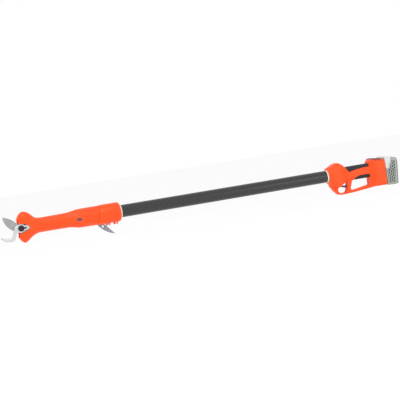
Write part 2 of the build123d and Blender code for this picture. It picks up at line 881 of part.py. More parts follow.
cable_radius = 3.5
lead_radius = 1.6
lead_offset = 6.0
cable_front = motor_back + end_cap
cable_rear = -58.0
board_z = -9.0
board_front = -56.0
board_back = 32.0
terminal_front = 43.5
guide_stations = [-900.0, -700.0, -500.0, -300.0, -120.0]
guide_width = 12.0
with BuildPart() as power_cable:
    rod_x(cable_front, cable_rear, cable_radius)
    for y in (-lead_offset, lead_offset):
        rod_x(board_back, terminal_front, lead_radius, y=y, z=board_z + 3.2)
finish(power_cable.part, "power_cable")

with BuildPart() as cable_guides:
    for start in guide_stations:
        tube_x(start, start + guide_width, pole_radius - pole_wall, cable_radius)
finish(cable_guides.part, "cable_guides")

# ---------------------------------------------------------------- rear handle
nose_stations = [
    (handle_front, 27.5, -25.0, 25.5, 22.0),
    (-112.0, 32.0, -38.0, 28.5, 20.0),
    (-98.0, 38.0, -45.0, 30.0, 16.0),
    (-83.0, 42.0, -45.0, 29.0, 13.0),
    (-70.0, 35.0, -38.0, 25.0, 13.0),
    (-54.0, grip_top, grip_bottom, grip_half_width, grip_corner),
]
grip_stations = [
    (grip_start, grip_top, grip_bottom, grip_half_width, grip_corner),
    (grip_end, grip_top, grip_bottom, grip_half_width, grip_corner),
]
holder_stations = [
    (25.0, 23.5, -57.0, 16.5, 12.0),
    (34.0, 31.5, -60.0, 20.0, 12.0),
    (45.0, 35.3, -61.0, 32.5, 12.0),
    (56.0, 35.3, -61.5, 37.2, 12.0),
    (70.0, 33.0, -61.5, 38.0, 11.0),
    (holder_back, 30.0, -61.5, 38.0, 10.0),
]
guard_outline = [
    (-121.0, -18.0),
    (-118.0, -37.0),
    (-107.0, -54.5),
    (-93.0, -69.0),
    (-84.0, -71.8),
    (-69.0, -72.2),
    (-30.0, -70.2),
    (41.0, -63.5),
    (60.0, -61.5),
    (60.0, -18.0),
]
hand_hole = [
    (-35.0, -27.0),
    (32.0, -28.4),
    (32.0, -51.5),
    (-36.0, -62.4),
    (-44.5, -57.0),
    (-38.0, -38.0),
]
trigger_hole = [
    (-53.0, -26.5),
    (-78.0, -36.5),
    (-92.0, -49.5),
    (-90.5, -60.5),
    (-80.0, -67.0),
    (-63.0, -65.5),
    (-57.5, -56.0),
]
hole_corner = 3.0
guard_round = 3.0
cavity_front = -121.0
cavity_bottom = -27.0
switch_front = -110.0
slot_rear = -74.0
top_pad_region = [
    (-45.0, 3.2),
    (-29.0, 6.9),
    (6.0, 11.5),
    (33.0, 11.9),
    (33.0, 45.0),
    (-57.0, 45.0),
    (-57.0, 24.0),
]
bottom_pad_region = [
    (-26.0, -35.0),
    (-24.0, -19.5),
    (-5.0, -13.2),
    (24.0, -13.7),
    (33.0, -15.0),
    (33.0, -35.0),
]
bay_front = 50.0
bay_half_width = 32.5
bay_top = 26.5
bay_bottom = -56.5
handle_screw_spots = [
    (-104.0, 31.5),
    (-100.0, -52.0),
    (-48.0, -64.5),
    (38.0, -56.0),
    (40.0, 22.0),
    (-47.0, 0.0),
]
clamp_front = -112.0
clamp_back = -84.0
clamp_radius = 24.4


def rounded_prism(points, radius, half_width, mode=Mode.ADD):
    """Side outline (x, z) with its corners rounded, carried the same width both ways."""
    with BuildSketch(Plane.XZ) as outline:
        with BuildLine():
            Polyline(points, close=True)
        make_face()
        fillet(outline.vertices(), radius)
    extrude(outline.sketch, amount=half_width, both=True, mode=mode)


with BuildPart() as guard:
    rounded_prism(guard_outline, hole_corner, guard_half_width)
    rim = guard.faces().filter_by(Axis.Y).edges()
    fillet(rim, guard_round)

with BuildPart() as grip_ring:
    station_solid(grip_stations)
    station_solid(
        [(grip_start - 1.0, *grip_stations[0][1:]), (grip_end + 1.0, *grip_stations[1][1:])],
        pad_thickness,
        Mode.SUBTRACT,
    )

with BuildPart() as handle_body:
    station_solid(nose_stations)
    station_solid(grip_stations)
    station_solid(holder_stations)
    add(guard.part)
    rounded_prism(hand_hole, 5.0, 50.0, Mode.SUBTRACT)
    rounded_prism(trigger_hole, hole_corner, 50.0, Mode.SUBTRACT)
    with BuildSketch(Plane.YZ.offset(bay_front)):
        with Locations((0, (bay_top + bay_bottom) / 2)):
            RectangleRounded(2 * bay_half_width, bay_top - bay_bottom, 5.0)
    extrude(amount=holder_back - bay_front + 1.0, mode=Mode.SUBTRACT)

with BuildPart() as grip_pad_top:
    add(grip_ring.part)
    side_prism(top_pad_region, grip_half_width + 1.0, Mode.INTERSECT)
finish(grip_pad_top.part, "grip_pad_top")

with BuildPart() as grip_pad_bottom:
    add(grip_ring.part)
    side_prism(bottom_pad_region, grip_half_width + 1.0, Mode.INTERSECT)
finish(grip_pad_bottom.part, "grip_pad_bottom")

with BuildPart() as grip_core:
    station_solid(
        [(-70.0, *grip_stations[0][1:]), (50.0, *grip_stations[1][1:])],
        pad_thickness,
    )

with BuildPart() as pad_seats:
    side_prism(top_pad_region, 40.0)
    side_prism(bottom_pad_region, 40.0)
    add(grip_core.part, mode=Mode.SUBTRACT)

with BuildPart() as handle_hollow:
    station_solid(
        [
            (cavity_front, 24.5, cavity_bottom, 22.5, 18.0),
            (-98.0, 34.5, cavity_bottom, 26.5, 12.0),
            (-83.0, 38.0, cavity_bottom, 25.0, 10.0),
            (-64.0, 17.0, -21.0, 12.0, 8.0),
            (44.0, 17.0, -21.0, 12.0, 8.0),
        ]
    )
    rod_x(handle_front - 1.0, cavity_front + 1.0, pole_radius + 1.6)
    rod_x(cavity_front, pole_rear + 1.0, pole_radius)
    rod_x(clamp_front - clear_gap, clamp_back + clear_gap, clamp_radius + clear_gap)
    side_prism(
        [
            (switch_front, cavity_bottom + 3.0),
            (switch_front, -43.0),
            (slot_rear, -48.0),
            (slot_rear, -28.5),
            (-95.0, cavity_bottom + 3.0),
        ],
        trigger_half_width + clear_gap,
    )
    with BuildSketch(Plane.YZ.offset(43.0)):
        Rectangle(42.0, 26.0)
    extrude(amount=bay_front - 43.0 + 1.0)

with BuildPart() as handle_whole:
    add(handle_body.part)
    add(pad_seats.part, mode=Mode.SUBTRACT)
    add(handle_hollow.part, mode=Mode.SUBTRACT)
    rod_y(-12.0, 12.0, trigger_pin_radius, trigger_x, trigger_z, Mode.SUBTRACT)

with BuildPart() as handle_shell_left:
    add(handle_whole.part)
    split(bisect_by=Plane.XZ, keep=Keep.TOP)
    for x, z in handle_screw_spots:
        rod_y(-9.0, 0, head_screw_radius, x, z, Mode.SUBTRACT)
finish(handle_shell_left.part, "handle_shell_left")

with BuildPart() as handle_shell_right:
    add(handle_whole.part)
    split(bisect_by=Plane.XZ, keep=Keep.BOTTOM)
    for x, z in handle_screw_spots:
        rod_y(0, 40.0, head_screw_radius, x, z, Mode.SUBTRACT)
        rod_y(8.0, 40.0, head_screw_head, x, z, Mode.SUBTRACT)
finish(handle_shell_right.part, "handle_shell_right")

with BuildPart() as shell_screws:
    for x, z, depth in head_screw_spots:
        rod_y(-screw_bite, depth - 1.0, head_screw_radius, x, z)
        rod_y(depth - 1.0, depth + 1.2, head_screw_head - 0.1, x, z)
    for x, z in handle_screw_spots:
        rod_y(-screw_bite, 8.0, head_screw_radius, x, z)
        rod_y(8.0, 10.2, head_screw_head - 0.1, x, z)
finish(shell_screws.part, "shell_screws")

with BuildPart() as rear_pole_clamp:
    tube_x(clamp_front, clamp_back, clamp_radius, pole_radius)
finish(rear_pole_clamp.part, "rear_pole_clamp")

# ---------------------------------------------------------------- trigger and switch
trigger_boss = 5.0
plunger_tip = -93.8
plunger_z = -30.5
plunger_radius = 1.6
switch_back = -98.0

with BuildPart() as trigger:
    with BuildSketch(Plane.XZ) as trigger_side:
        with BuildLine():
            upper = Spline(
                (-86.5, -34.6), (-78.5, -38.2), (-70.0, -40.5), (-58.0, -41.2), tangents=[(1, -0.4), (1, 0.2)]
            )
            tip = ThreePointArc(upper @ 1, (-56.9, -45.6), (-59.5, -49.6))
            Spline(tip @ 1, (-68.0, -47.4), (-78.0, -44.6), (-86.5, -43.3), tangents=[(-1, 0.1), (-1, 0.1)])
            Line((-86.5, -43.3), (-86.5, -34.6))
        make_face()
        with Locations((trigger_x, trigger_z)):
            Circle(trigger_boss)
    extrude(trigger_side.sketch, amount=trigger_half_width, both=True)
    side_prism([(-91.5, -29.2), (-93.2, -31.8), (-87.5, -38.0), (-83.5, -36.0)], 3.0)
    rod_y(-8.0, 8.0, trigger_pin_radius + running_gap, trigger_x, trigger_z, Mode.SUBTRACT)
finish(trigger.part, "trigger")

with BuildPart() as trigger_pin:
    rod_y(-12.0, 12.0, trigger_pin_radius, trigger_x, trigger_z)
finish(trigger_pin.part, "trigger_pin")

with BuildPart() as trigger_switch:
    side_prism(
        [(switch_front, -42.5), (switch_back, -42.5), (switch_back, -24.6), (switch_front, -24.6)],
        trigger_half_width,
    )
    rod_x(switch_back - 5.0, switch_back, plunger_radius + running_gap, z=plunger_z, mode=Mode.SUBTRACT)
finish(trigger_switch.part, "trigger_switch")

with BuildPart() as switch_plunger:
    rod_x(switch_back - 1.0, plunger_tip, plunger_radius, z=plunger_z)
finish(switch_plunger.part, "switch_plunger")

spring_wire = 0.4
spring_radius = 2.0
spring_turns = 5
spring_x = -77.4
spring_low = -36.0
spring_high = -29.6
with BuildPart() as trigger_spring:
    with BuildLine() as coil:
        Helix(
            pitch=(spring_high - spring_low) / spring_turns,
            height=spring_high - spring_low,
            radius=spring_radius,
            center=(spring_x, 0, spring_low),
        )
    with BuildSketch(Plane(origin=coil.line @ 0, z_dir=coil.line % 0)):
        Circle(spring_wire)
    sweep()
finish(trigger_spring.part, "trigger_spring")

# ---------------------------------------------------------------- electronics in the grip
board_half_width = 10.5
board_thickness = 1.6

with BuildPart() as control_board:
    side_prism(
        [
            (board_front, board_z),
            (board_back, board_z),
            (board_back, board_z + board_thickness),
            (board_front, board_z + board_thickness),
        ],
        board_half_width,
    )
finish(control_board.part, "control_board")

with BuildPart() as board_components:
    for x in (-40.0, -26.0, -12.0):
        rod_y(-9.0, 9.0, 3.0, x, board_z + board_thickness + 3.0)
    for x in (2.0, 16.0):
        with BuildSketch(Plane.XY.offset(board_z + board_thickness)):
            with Locations((x, 0)):
                Rectangle(10.0, 14.0)
        extrude(amount=6.0)
finish(board_components.part, "board_components")

with BuildPart() as terminal_block:
    with BuildSketch(Plane.YZ.offset(terminal_front)):
        Rectangle(41.0, 25.0)
    extrude(amount=bay_front - terminal_front)
finish(terminal_block.part, "terminal_block")

blade_offsets = (-14.0, 0.0, 14.0)
with BuildPart() as terminal_blades:
    for y in blade_offsets:
        with BuildSketch(Plane.YZ.offset(bay_front)):
            with Locations((y, 0)):
                Rectangle(1.2, 10.0)
        extrude(amount=9.0)
finish(terminal_blades.part, "terminal_blades")

# ---------------------------------------------------------------- battery
battery_front = holder_back + battery_gap
battery_outline = [
    (battery_front, -62.5),
    (battery_front, 38.0),
    (97.0, 38.6),
    (112.0, 33.5),
    (132.0, 28.8),
    (136.0, 20.0),
    (129.0, -63.0),
    (108.0, -63.5),
]
battery_round = 4.0
battery_wall = 2.0
tongue_half_width = bay_half_width - battery_gap
tongue_top = bay_top - battery_gap
tongue_bottom = bay_bottom + battery_gap
tongue_front = bay_front + battery_gap
blade_slot_width = 2.0
blade_slot_height = 11.0
cover_region = [
    (battery_front - 1.0, 45.0),
    (battery_front - 1.0, 0.0),
    (95.0, -6.0),
    (98.0, -4.0),
    (110.0, 30.0),
    (113.0, 45.0),
]
cover_thickness = 1.6
cap_region = [(132.0, 18.0), (125.2, -70.0), (160.0, -70.0), (160.0, 18.0)]
cell_columns = (98.0, 116.8)
cell_rows = (-50.9, -32.1, -13.3, 5.5)
cell_inside = [
    (battery_front + battery_wall, -60.3),
    (battery_front + battery_wall, 34.5),
    (98.0, 34.5),
    (112.0, 30.5),
    (130.5, 26.0),
    (133.0, 19.0),
    (126.6, -60.3),
]
board_region = [(90.0, 17.0), (119.0, 17.0), (119.0, 18.6), (90.0, 18.6)]
board_half_width = 28.0
latch_x = 125.0
latch_length = 8.0
latch_half_width = 11.0
latch_low = 23.5
latch_high = 31.8
latch_turns = 3
bracket_low = 15.2
bracket_high = 16.8
bracket_length = 7.4

with BuildPart() as battery_block:
    rounded_prism(battery_outline, battery_round, battery_half_width)
    chamfer(battery_block.faces().filter_by(Axis.Y).edges(), 2.5)

with BuildPart() as battery_inside:
    rounded_prism(cell_inside, 2.0, battery_half_width - battery_wall)

with BuildPart() as cover_core:
    rounded_prism(
        [(x, z - cover_thickness) for x, z in battery_outline],
        battery_round,
        battery_half_width - cover_thickness,
    )

with BuildPart() as battery_cover:
    add(battery_block.part)
    side_prism(cover_region, battery_half_width + 1.0, Mode.INTERSECT)
    add(cover_core.part, mode=Mode.SUBTRACT)
finish(battery_cover.part, "battery_cover")

with BuildPart() as battery_rear_cap:
    add(battery_block.part)
    side_prism(cap_region, battery_half_width + 1.0, Mode.INTERSECT)
    add(battery_inside.part, mode=Mode.SUBTRACT)
finish(battery_rear_cap.part, "battery_rear_cap")

with BuildPart() as battery_case:
    add(battery_block.part)
    add(battery_cover.part, mode=Mode.SUBTRACT)
    side_prism(cap_region, battery_half_width + 1.0, Mode.SUBTRACT)
    with BuildSketch(Plane.YZ.offset(tongue_front)):
        with Locations((0, (tongue_top + tongue_bottom) / 2)):
            RectangleRounded(2 * tongue_half_width, tongue_top - tongue_bottom, 5.0)
    extrude(amount=battery_front - tongue_front + 1.0)
    add(battery_inside.part, mode=Mode.SUBTRACT)
    with BuildSketch(Plane.YZ.offset(tongue_front + battery_wall)):
        with Locations((0, (tongue_top + tongue_bottom) / 2)):
            Rectangle(
                2 * (tongue_half_width - battery_wall),
                tongue_top - tongue_bottom - 2 * battery_wall,
            )
    extrude(amount=battery_front - tongue_front + 1.0, mode=Mode.SUBTRACT)
    with BuildSketch(Plane.YZ.offset(tongue_front)):
        with Locations(*[(y, 0) for y in blade_offsets]):
            Rectangle(blade_slot_width, blade_slot_height)
    extrude(amount=battery_wall + 1.0, mode=Mode.SUBTRACT)
    with BuildSketch(Plane.XY.offset(latch_low - 2.0)):
        with Locations((latch_x, 0)):
            Rectangle(latch_length + 2 * clear_gap, 2 * (latch_half_width + clear_gap))
    extrude(amount=20.0, mode=Mode.SUBTRACT)
    with BuildSketch(Plane.XY.offset(bracket_low)):
        with Locations((latch_x, 0)):
            Rectangle(bracket_length, 2 * (battery_half_width - battery_wall) + 0.4)
    extrude(amount=bracket_high - bracket_low)
finish(battery_case.part, "battery_case")

with BuildPart() as battery_cells:
    for x in cell_columns:
        for z in cell_rows:
            rod_y(-cell_length / 2, cell_length / 2, cell_radius, x, z)
finish(battery_cells.part, "battery_cells")

with BuildPart() as battery_board:
    side_prism(board_region, board_half_width)
finish(battery_board.part, "battery_board")

with BuildPart() as battery_latch:
    with BuildSketch(Plane.XY.offset(latch_low)):
        with Locations((latch_x, 0)):
            RectangleRounded(latch_length, 2 * latch_half_width, 1.5)
    extrude(amount=latch_high - latch_low)
    fillet(battery_latch.faces().sort_by(Axis.Z)[-1].edges(), 1.0)
finish(battery_latch.part, "battery_latch")

with BuildPart() as latch_spring:
    with BuildLine() as latch_coil:
        Helix(
            pitch=(latch_low - bracket_high - 1.2) / latch_turns,
            height=latch_low - bracket_high - 1.2,
            radius=2 * spring_radius,
            center=(latch_x, 0, bracket_high + 0.6),
        )
    with BuildSketch(Plane(origin=latch_coil.line @ 0, z_dir=latch_coil.line % 0)):
        Circle(spring_wire)
    sweep()
finish(latch_spring.part, "latch_spring")

blade_clip_width = 4.0
with BuildPart() as battery_contacts:
    for y in blade_offsets:
        with BuildSketch(Plane.YZ.offset(60.0)):
            with Locations((y, 0)):
                Rectangle(blade_clip_width, 10.0)
        extrude(amount=6.0)
finish(battery_contacts.part, "battery_contacts")
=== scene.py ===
"""Cordless pole pruner: the visible surfaces and finishes, built around the measured frame."""

import json
import math

import bmesh
import bpy
import numpy as np
from bpy.props import BoolProperty, FloatProperty, FloatVectorProperty, IntProperty, PointerProperty
from mathutils import Matrix, Vector


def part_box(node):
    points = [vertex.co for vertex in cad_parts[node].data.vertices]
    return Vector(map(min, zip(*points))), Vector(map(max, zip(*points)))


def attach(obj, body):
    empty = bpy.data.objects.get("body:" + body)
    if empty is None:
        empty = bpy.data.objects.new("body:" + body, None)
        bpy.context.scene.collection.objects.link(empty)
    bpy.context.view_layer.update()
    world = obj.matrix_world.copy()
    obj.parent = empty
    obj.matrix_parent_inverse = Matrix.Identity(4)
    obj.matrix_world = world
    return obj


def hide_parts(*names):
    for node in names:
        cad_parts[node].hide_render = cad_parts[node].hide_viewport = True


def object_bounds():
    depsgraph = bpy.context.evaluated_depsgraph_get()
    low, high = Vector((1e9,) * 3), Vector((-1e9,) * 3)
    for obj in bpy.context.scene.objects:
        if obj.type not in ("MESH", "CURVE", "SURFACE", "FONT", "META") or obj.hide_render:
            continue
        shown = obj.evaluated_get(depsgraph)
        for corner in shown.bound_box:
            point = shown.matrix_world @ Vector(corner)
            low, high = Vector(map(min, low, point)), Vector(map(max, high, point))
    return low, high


bl_info = {
    "name": "Cordless Pole Pruner",
    "version": (1, 0, 0),
    "blender": (4, 5, 0),
    "location": "View3D > Sidebar > Pruner",
    "description": "Builds the surfaces and finishes of a cordless pole pruner around its measured frame",
    "category": "Object",
}

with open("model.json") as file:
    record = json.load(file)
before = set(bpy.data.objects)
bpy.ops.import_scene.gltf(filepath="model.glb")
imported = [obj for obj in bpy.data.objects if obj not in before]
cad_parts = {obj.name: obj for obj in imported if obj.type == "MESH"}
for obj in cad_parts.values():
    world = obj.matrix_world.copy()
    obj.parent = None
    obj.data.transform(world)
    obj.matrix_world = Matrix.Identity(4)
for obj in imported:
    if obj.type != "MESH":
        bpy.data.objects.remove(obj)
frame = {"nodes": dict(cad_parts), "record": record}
cad_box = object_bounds()

MM = 0.001
BODY_OF = {node: body for body, nodes in frame["record"]["behaviour"]["bodies"].items() for node in nodes}
SLOT_OF = {part["node"]: part["material_slot"] for part in frame["record"]["subparts"]}


# ---------------------------------------------------------------- settings
class PrunerShellSettings(bpy.types.PropertyGroup):
    """Moulded housings: how finely they are drawn and how they are coloured."""

    head_cell: FloatProperty(
        name="Head cell", description="Mesh cell of the head housing", default=0.9 * MM, unit="LENGTH"
    )
    handle_cell: FloatProperty(
        name="Handle cell", description="Mesh cell of the rear handle", default=1.15 * MM, unit="LENGTH"
    )
    handle_relax: IntProperty(
        name="Handle relax", description="Smoothing passes over the handle", default=12, min=0
    )
    orange: FloatVectorProperty(
        name="Orange", description="Housing colour", default=(0.95, 0.066, 0.002), subtype="COLOR"
    )
    rim_height: FloatProperty(
        name="Rim height", description="Raised rim round the window", default=0.9 * MM, unit="LENGTH"
    )


class PrunerPoleSettings(bpy.types.PropertyGroup):
    """Carbon pole: its tows and its rings."""

    tows_round: IntProperty(name="Tows round", description="Carbon tows round the tube", default=40, min=8)
    carbon_dark: FloatVectorProperty(
        name="Dark tow", description="Tow turned from the light", default=(0.008, 0.008, 0.009), subtype="COLOR"
    )
    carbon_light: FloatVectorProperty(
        name="Light tow", description="Tow that catches light", default=(0.032, 0.033, 0.036), subtype="COLOR"
    )


class PrunerBatterySettings(bpy.types.PropertyGroup):
    """Battery pack: vents and housing colours."""

    vent_pitch: FloatProperty(
        name="Vent pitch", description="Distance between vent columns", default=7.2 * MM, unit="LENGTH"
    )
    vent_depth: FloatProperty(
        name="Vent depth", description="How deep a vent is sunk", default=1.5 * MM, unit="LENGTH"
    )
    grey: FloatVectorProperty(
        name="Grey", description="Battery housing colour", default=(0.30, 0.33, 0.30), subtype="COLOR"
    )


class PrunerStageSettings(bpy.types.PropertyGroup):
    """Studio: floor, light and camera."""

    key_power: FloatProperty(
        name="Key light", description="Power of the key light", default=34.0, unit="POWER"
    )
    sky: FloatProperty(name="Sky", description="Brightness of the even light", default=1.0)
    lens: FloatProperty(name="Lens", description="Focal length in millimetres", default=99.0)
    with_floor: BoolProperty(name="Floor", description="Lay a pale floor under the tool", default=True)


# ---------------------------------------------------------------- mesh helpers
def link_piece(name, mesh, material, body, node_names=()):
    """Put a finished mesh in the scene as a piece that rides on a body and stands for CAD nodes."""
    piece = bpy.data.objects.new(name, mesh)
    bpy.context.collection.objects.link(piece)
    mesh.materials.clear()
    mesh.materials.append(material)
    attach(piece, body)
    if node_names:
        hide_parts(*node_names)
    return piece


def close_surface(mesh, angle):
    """Merge doubles, turn every face outwards, then shade smooth below an angle."""
    work = bmesh.new()
    work.from_mesh(mesh)
    bmesh.ops.remove_doubles(work, verts=work.verts, dist=1e-6)
    bmesh.ops.recalc_face_normals(work, faces=work.faces)
    work.to_mesh(mesh)
    work.free()
    mesh.shade_smooth()
    mesh.set_sharp_from_angle(angle=math.radians(angle))


def surface(name, points, wrap_rows=False, wrap_columns=False, angle=35.0, caps=False):
    """Mesh over a (rows, columns, 3) grid: each cell is one face, and caps close the end rows."""
    rows, columns, _ = points.shape
    index = np.arange(rows * columns).reshape(rows, columns)
    if wrap_rows:
        index = np.vstack([index, index[:1]])
    if wrap_columns:
        index = np.hstack([index, index[:, :1]])
    cells = np.stack([index[:-1, :-1], index[1:, :-1], index[1:, 1:], index[:-1, 1:]], axis=-1)
    faces = cells.reshape(-1, 4).tolist()
    if caps:
        faces.append(index[0, :columns].tolist())
        faces.append(index[-1, :columns][::-1].tolist())
    mesh = bpy.data.meshes.new(name)
    mesh.from_pydata(points.reshape(-1, 3).tolist(), [], faces)
    close_surface(mesh, angle)
    return mesh


def joined(name, meshes, angle=35.0):
    """One mesh of several closed ones."""
    work = bmesh.new()
    for mesh in meshes:
        work.from_mesh(mesh)
    whole = bpy.data.meshes.new(name)
    work.to_mesh(whole)
    work.free()
    whole.shade_smooth()
    whole.set_sharp_from_angle(angle=math.radians(angle))
    return whole


def merged_copy(node, name):
    """Copy of a CAD node's mesh with its loose triangles merged."""
    mesh = frame["nodes"][node].data.copy()
    mesh.name = name
    work = bmesh.new()
    work.from_mesh(mesh)
    bmesh.ops.remove_doubles(work, verts=work.verts, dist=2e-6)
    work.to_mesh(mesh)
    work.free()
    for shading in ("custom_normal", "sharp_edge", "sharp_face"):
        if shading in mesh.attributes:
            mesh.attributes.remove(mesh.attributes[shading])
    return mesh


def modified(mesh, name, add_modifiers):
    """The mesh after the modifiers that add_modifiers puts on a holder."""
    holder = bpy.data.objects.new(name, mesh)
    bpy.context.collection.objects.link(holder)
    add_modifiers(holder)
    graph = bpy.context.evaluated_depsgraph_get()
    result = bpy.data.meshes.new_from_object(holder.evaluated_get(graph))
    bpy.data.objects.remove(holder)
    result.name = name
    return result


def moulded_copy(node, name, cell, passes=5):
    """CAD node redrawn in even cells and relaxed, which rounds its edges as a mould does."""

    def add_modifiers(holder):
        remesh = holder.modifiers.new("Cells", "REMESH")
        remesh.mode = "VOXEL"
        remesh.voxel_size = cell
        smooth = holder.modifiers.new("Relax", "SMOOTH")
        smooth.factor = 0.5
        smooth.iterations = passes

    mesh = modified(merged_copy(node, name), name, add_modifiers)
    mesh.shade_smooth()
    return mesh


def eased_copy(node, name, width, segments=2, whole_faces=True):
    """CAD node with its edges eased by width; flat faces are made whole first, unless openings pierce them."""
    mesh = merged_copy(node, name)
    if whole_faces:
        work = bmesh.new()
        work.from_mesh(mesh)
        bmesh.ops.dissolve_limit(
            work, angle_limit=math.radians(1.0), verts=work.verts, edges=work.edges
        )
        work.to_mesh(mesh)
        work.free()

    def add_modifiers(holder):
        bevel = holder.modifiers.new("Ease", "BEVEL")
        bevel.width = width
        bevel.segments = segments
        bevel.limit_method = "ANGLE"
        bevel.angle_limit = math.radians(32.0)
        bevel.use_clamp_overlap = True

    mesh = modified(mesh, name, add_modifiers)
    mesh.shade_smooth()
    mesh.set_sharp_from_angle(angle=math.radians(32.0))
    return mesh


def move_points(mesh, shift):
    """Move every vertex by shift(points, normals), worked out as whole arrays."""
    count = len(mesh.vertices)
    points = np.empty(count * 3)
    mesh.vertices.foreach_get("co", points)
    points = points.reshape(-1, 3)
    normals = np.empty(count * 3)
    mesh.vertex_normals.foreach_get("vector", normals)
    normals = normals.reshape(-1, 3)
    mesh.vertices.foreach_set("co", (points + shift(points, normals)).ravel())
    mesh.update()


def bump_curve(distance, centre, spread):
    """Bell curve: one at centre, falling off over spread."""
    return np.exp(-(((distance - centre) / spread) ** 2))


def ramp(values, low, high):
    """Smooth step from nought at low to one at high."""
    t = np.clip((values - low) / (high - low), 0.0, 1.0)
    return t * t * (3.0 - 2.0 * t)


# ---------------------------------------------------------------- material helpers
class Finish:
    """A principled material with short calls for its nodes."""

    def __init__(self, name, metallic=0.0, specular=0.5, coat=0.0, coat_roughness=0.1):
        self.material = bpy.data.materials.new(name)
        self.material.use_nodes = True
        self.tree = self.material.node_tree
        self.tree.nodes.clear()
        output = self.tree.nodes.new("ShaderNodeOutputMaterial")
        self.shader = self.tree.nodes.new("ShaderNodeBsdfPrincipled")
        self.tree.links.new(self.shader.outputs["BSDF"], output.inputs["Surface"])
        self.shader.inputs["Metallic"].default_value = metallic
        self.shader.inputs["Specular IOR Level"].default_value = specular
        self.shader.inputs["Coat Weight"].default_value = coat
        self.shader.inputs["Coat Roughness"].default_value = coat_roughness
        self.coordinates = self.tree.nodes.new("ShaderNodeTexCoord").outputs["Object"]

    def link(self, source, node, socket):
        """Join an output to a node's input."""
        self.tree.links.new(source, node.inputs[socket])

    def stretched(self, scale):
        """Object coordinates stretched by a scale for each axis."""
        node = self.tree.nodes.new("ShaderNodeMapping")
        node.inputs["Scale"].default_value = scale
        self.link(self.coordinates, node, "Vector")
        return node.outputs["Vector"]

    def noise(self, scale, detail=3.0, roughness=0.55, vector=None):
        """Cloudy noise of a scale, in features per metre."""
        node = self.tree.nodes.new("ShaderNodeTexNoise")
        node.inputs["Scale"].default_value = scale
        node.inputs["Detail"].default_value = detail
        node.inputs["Roughness"].default_value = roughness
        self.link(vector or self.coordinates, node, "Vector")
        return node.outputs["Fac"]

    def cells(self, scale):
        """Distance to the nearest of scattered points, for moulded grain."""
        node = self.tree.nodes.new("ShaderNodeTexVoronoi")
        node.inputs["Scale"].default_value = scale
        self.link(self.coordinates, node, "Vector")
        return node.outputs["Distance"]

    def math(self, operation, first, second=0.0):
        """One arithmetic step on two sockets or numbers."""
        node = self.tree.nodes.new("ShaderNodeMath")
        node.operation = operation
        for socket, value in enumerate((first, second)):
            if isinstance(value, (int, float)):
                node.inputs[socket].default_value = value
            else:
                self.link(value, node, socket)
        return node.outputs["Value"]

    def spread(self, source, low, high, from_low=0.3, from_high=0.7):
        """Map a socket's usual range to another."""
        node = self.tree.nodes.new("ShaderNodeMapRange")
        node.inputs["From Min"].default_value = from_low
        node.inputs["From Max"].default_value = from_high
        node.inputs["To Min"].default_value = low
        node.inputs["To Max"].default_value = high
        self.link(source, node, "Value")
        return node.outputs["Result"]

    def tones(self, source, stops):
        """Colours at positions along a socket's value."""
        node = self.tree.nodes.new("ShaderNodeValToRGB")
        elements = node.color_ramp.elements
        for place, (position, colour) in enumerate(stops):
            element = elements[place] if place < 2 else elements.new(position)
            element.position = position
            element.color = (*colour, 1.0)
        self.link(source, node, "Fac")
        return node.outputs["Color"]

    def blend(self, factor, first, second):
        """Colour between two colour sockets."""
        node = self.tree.nodes.new("ShaderNodeMix")
        node.data_type = "RGBA"
        self.link(factor, node, 0)
        self.link(first, node, 6)
        self.link(second, node, 7)
        return node.outputs[2]

    def colour(self, source):
        """Use a socket as the base colour."""
        self.link(source, self.shader, "Base Color")

    def roughness(self, source):
        """Use a socket as the roughness."""
        self.link(source, self.shader, "Roughness")

    def bump(self, source, distance, strength=1.0):
        """Raise the surface by a socket's height, up to distance."""
        node = self.tree.nodes.new("ShaderNodeBump")
        node.inputs["Distance"].default_value = distance
        node.inputs["Strength"].default_value = strength
        self.link(source, node, "Height")
        self.link(node.outputs["Normal"], self.shader, "Normal")


def shade(colour, factor):
    """A colour made darker or lighter."""
    return tuple(min(1.0, channel * factor) for channel in colour)


def moulded_plastic(name, colour, grain=1100.0, gloss=(0.34, 0.46), depth=0.00004, specular=0.45):
    """Moulded plastic: faint mottle, spark-eroded grain and uneven gloss from handling."""
    finish = Finish(name, specular=specular)
    cloud = finish.noise(22.0)
    finish.colour(finish.tones(cloud, [(0.3, shade(colour, 0.93)), (0.7, shade(colour, 1.05))]))
    finish.roughness(finish.spread(finish.noise(60.0, 5.0), *gloss))
    finish.bump(finish.cells(grain), depth, 0.5)
    return finish.material


def worked_metal(name, dark, light, along, gloss=(0.22, 0.38), depth=0.00003):
    """Metal with tool marks: noise drawn out along the given direction, over cloudy staining."""
    finish = Finish(name, metallic=1.0)
    marks = finish.noise(1.0, 4.0, vector=finish.stretched(along))
    stain = finish.noise(55.0, 5.0)
    mix = finish.math("ADD", finish.math("MULTIPLY", marks, 0.6), finish.math("MULTIPLY", stain, 0.4))
    finish.colour(finish.tones(mix, [(0.35, dark), (0.65, light)]))
    finish.roughness(finish.spread(mix, *gloss))
    finish.bump(marks, depth, 0.6)
    return finish.material


def orange_plastic():
    """Bright orange housing plastic."""
    colour = tuple(bpy.context.scene.pruner_shell.orange)
    return moulded_plastic("orange_plastic", colour, gloss=(0.34, 0.46), specular=0.3)


def soft_rubber():
    """Near-black grip rubber with a pebbled skin and dusty high spots."""
    finish = Finish("soft_rubber", specular=0.3)
    pebble = finish.cells(520.0)
    dust = finish.noise(35.0, 6.0)
    finish.colour(finish.tones(dust, [(0.3, (0.016, 0.016, 0.017)), (0.7, (0.034, 0.034, 0.036))]))
    finish.roughness(finish.spread(dust, 0.62, 0.8))
    finish.bump(pebble, 0.00022, 0.7)
    return finish.material


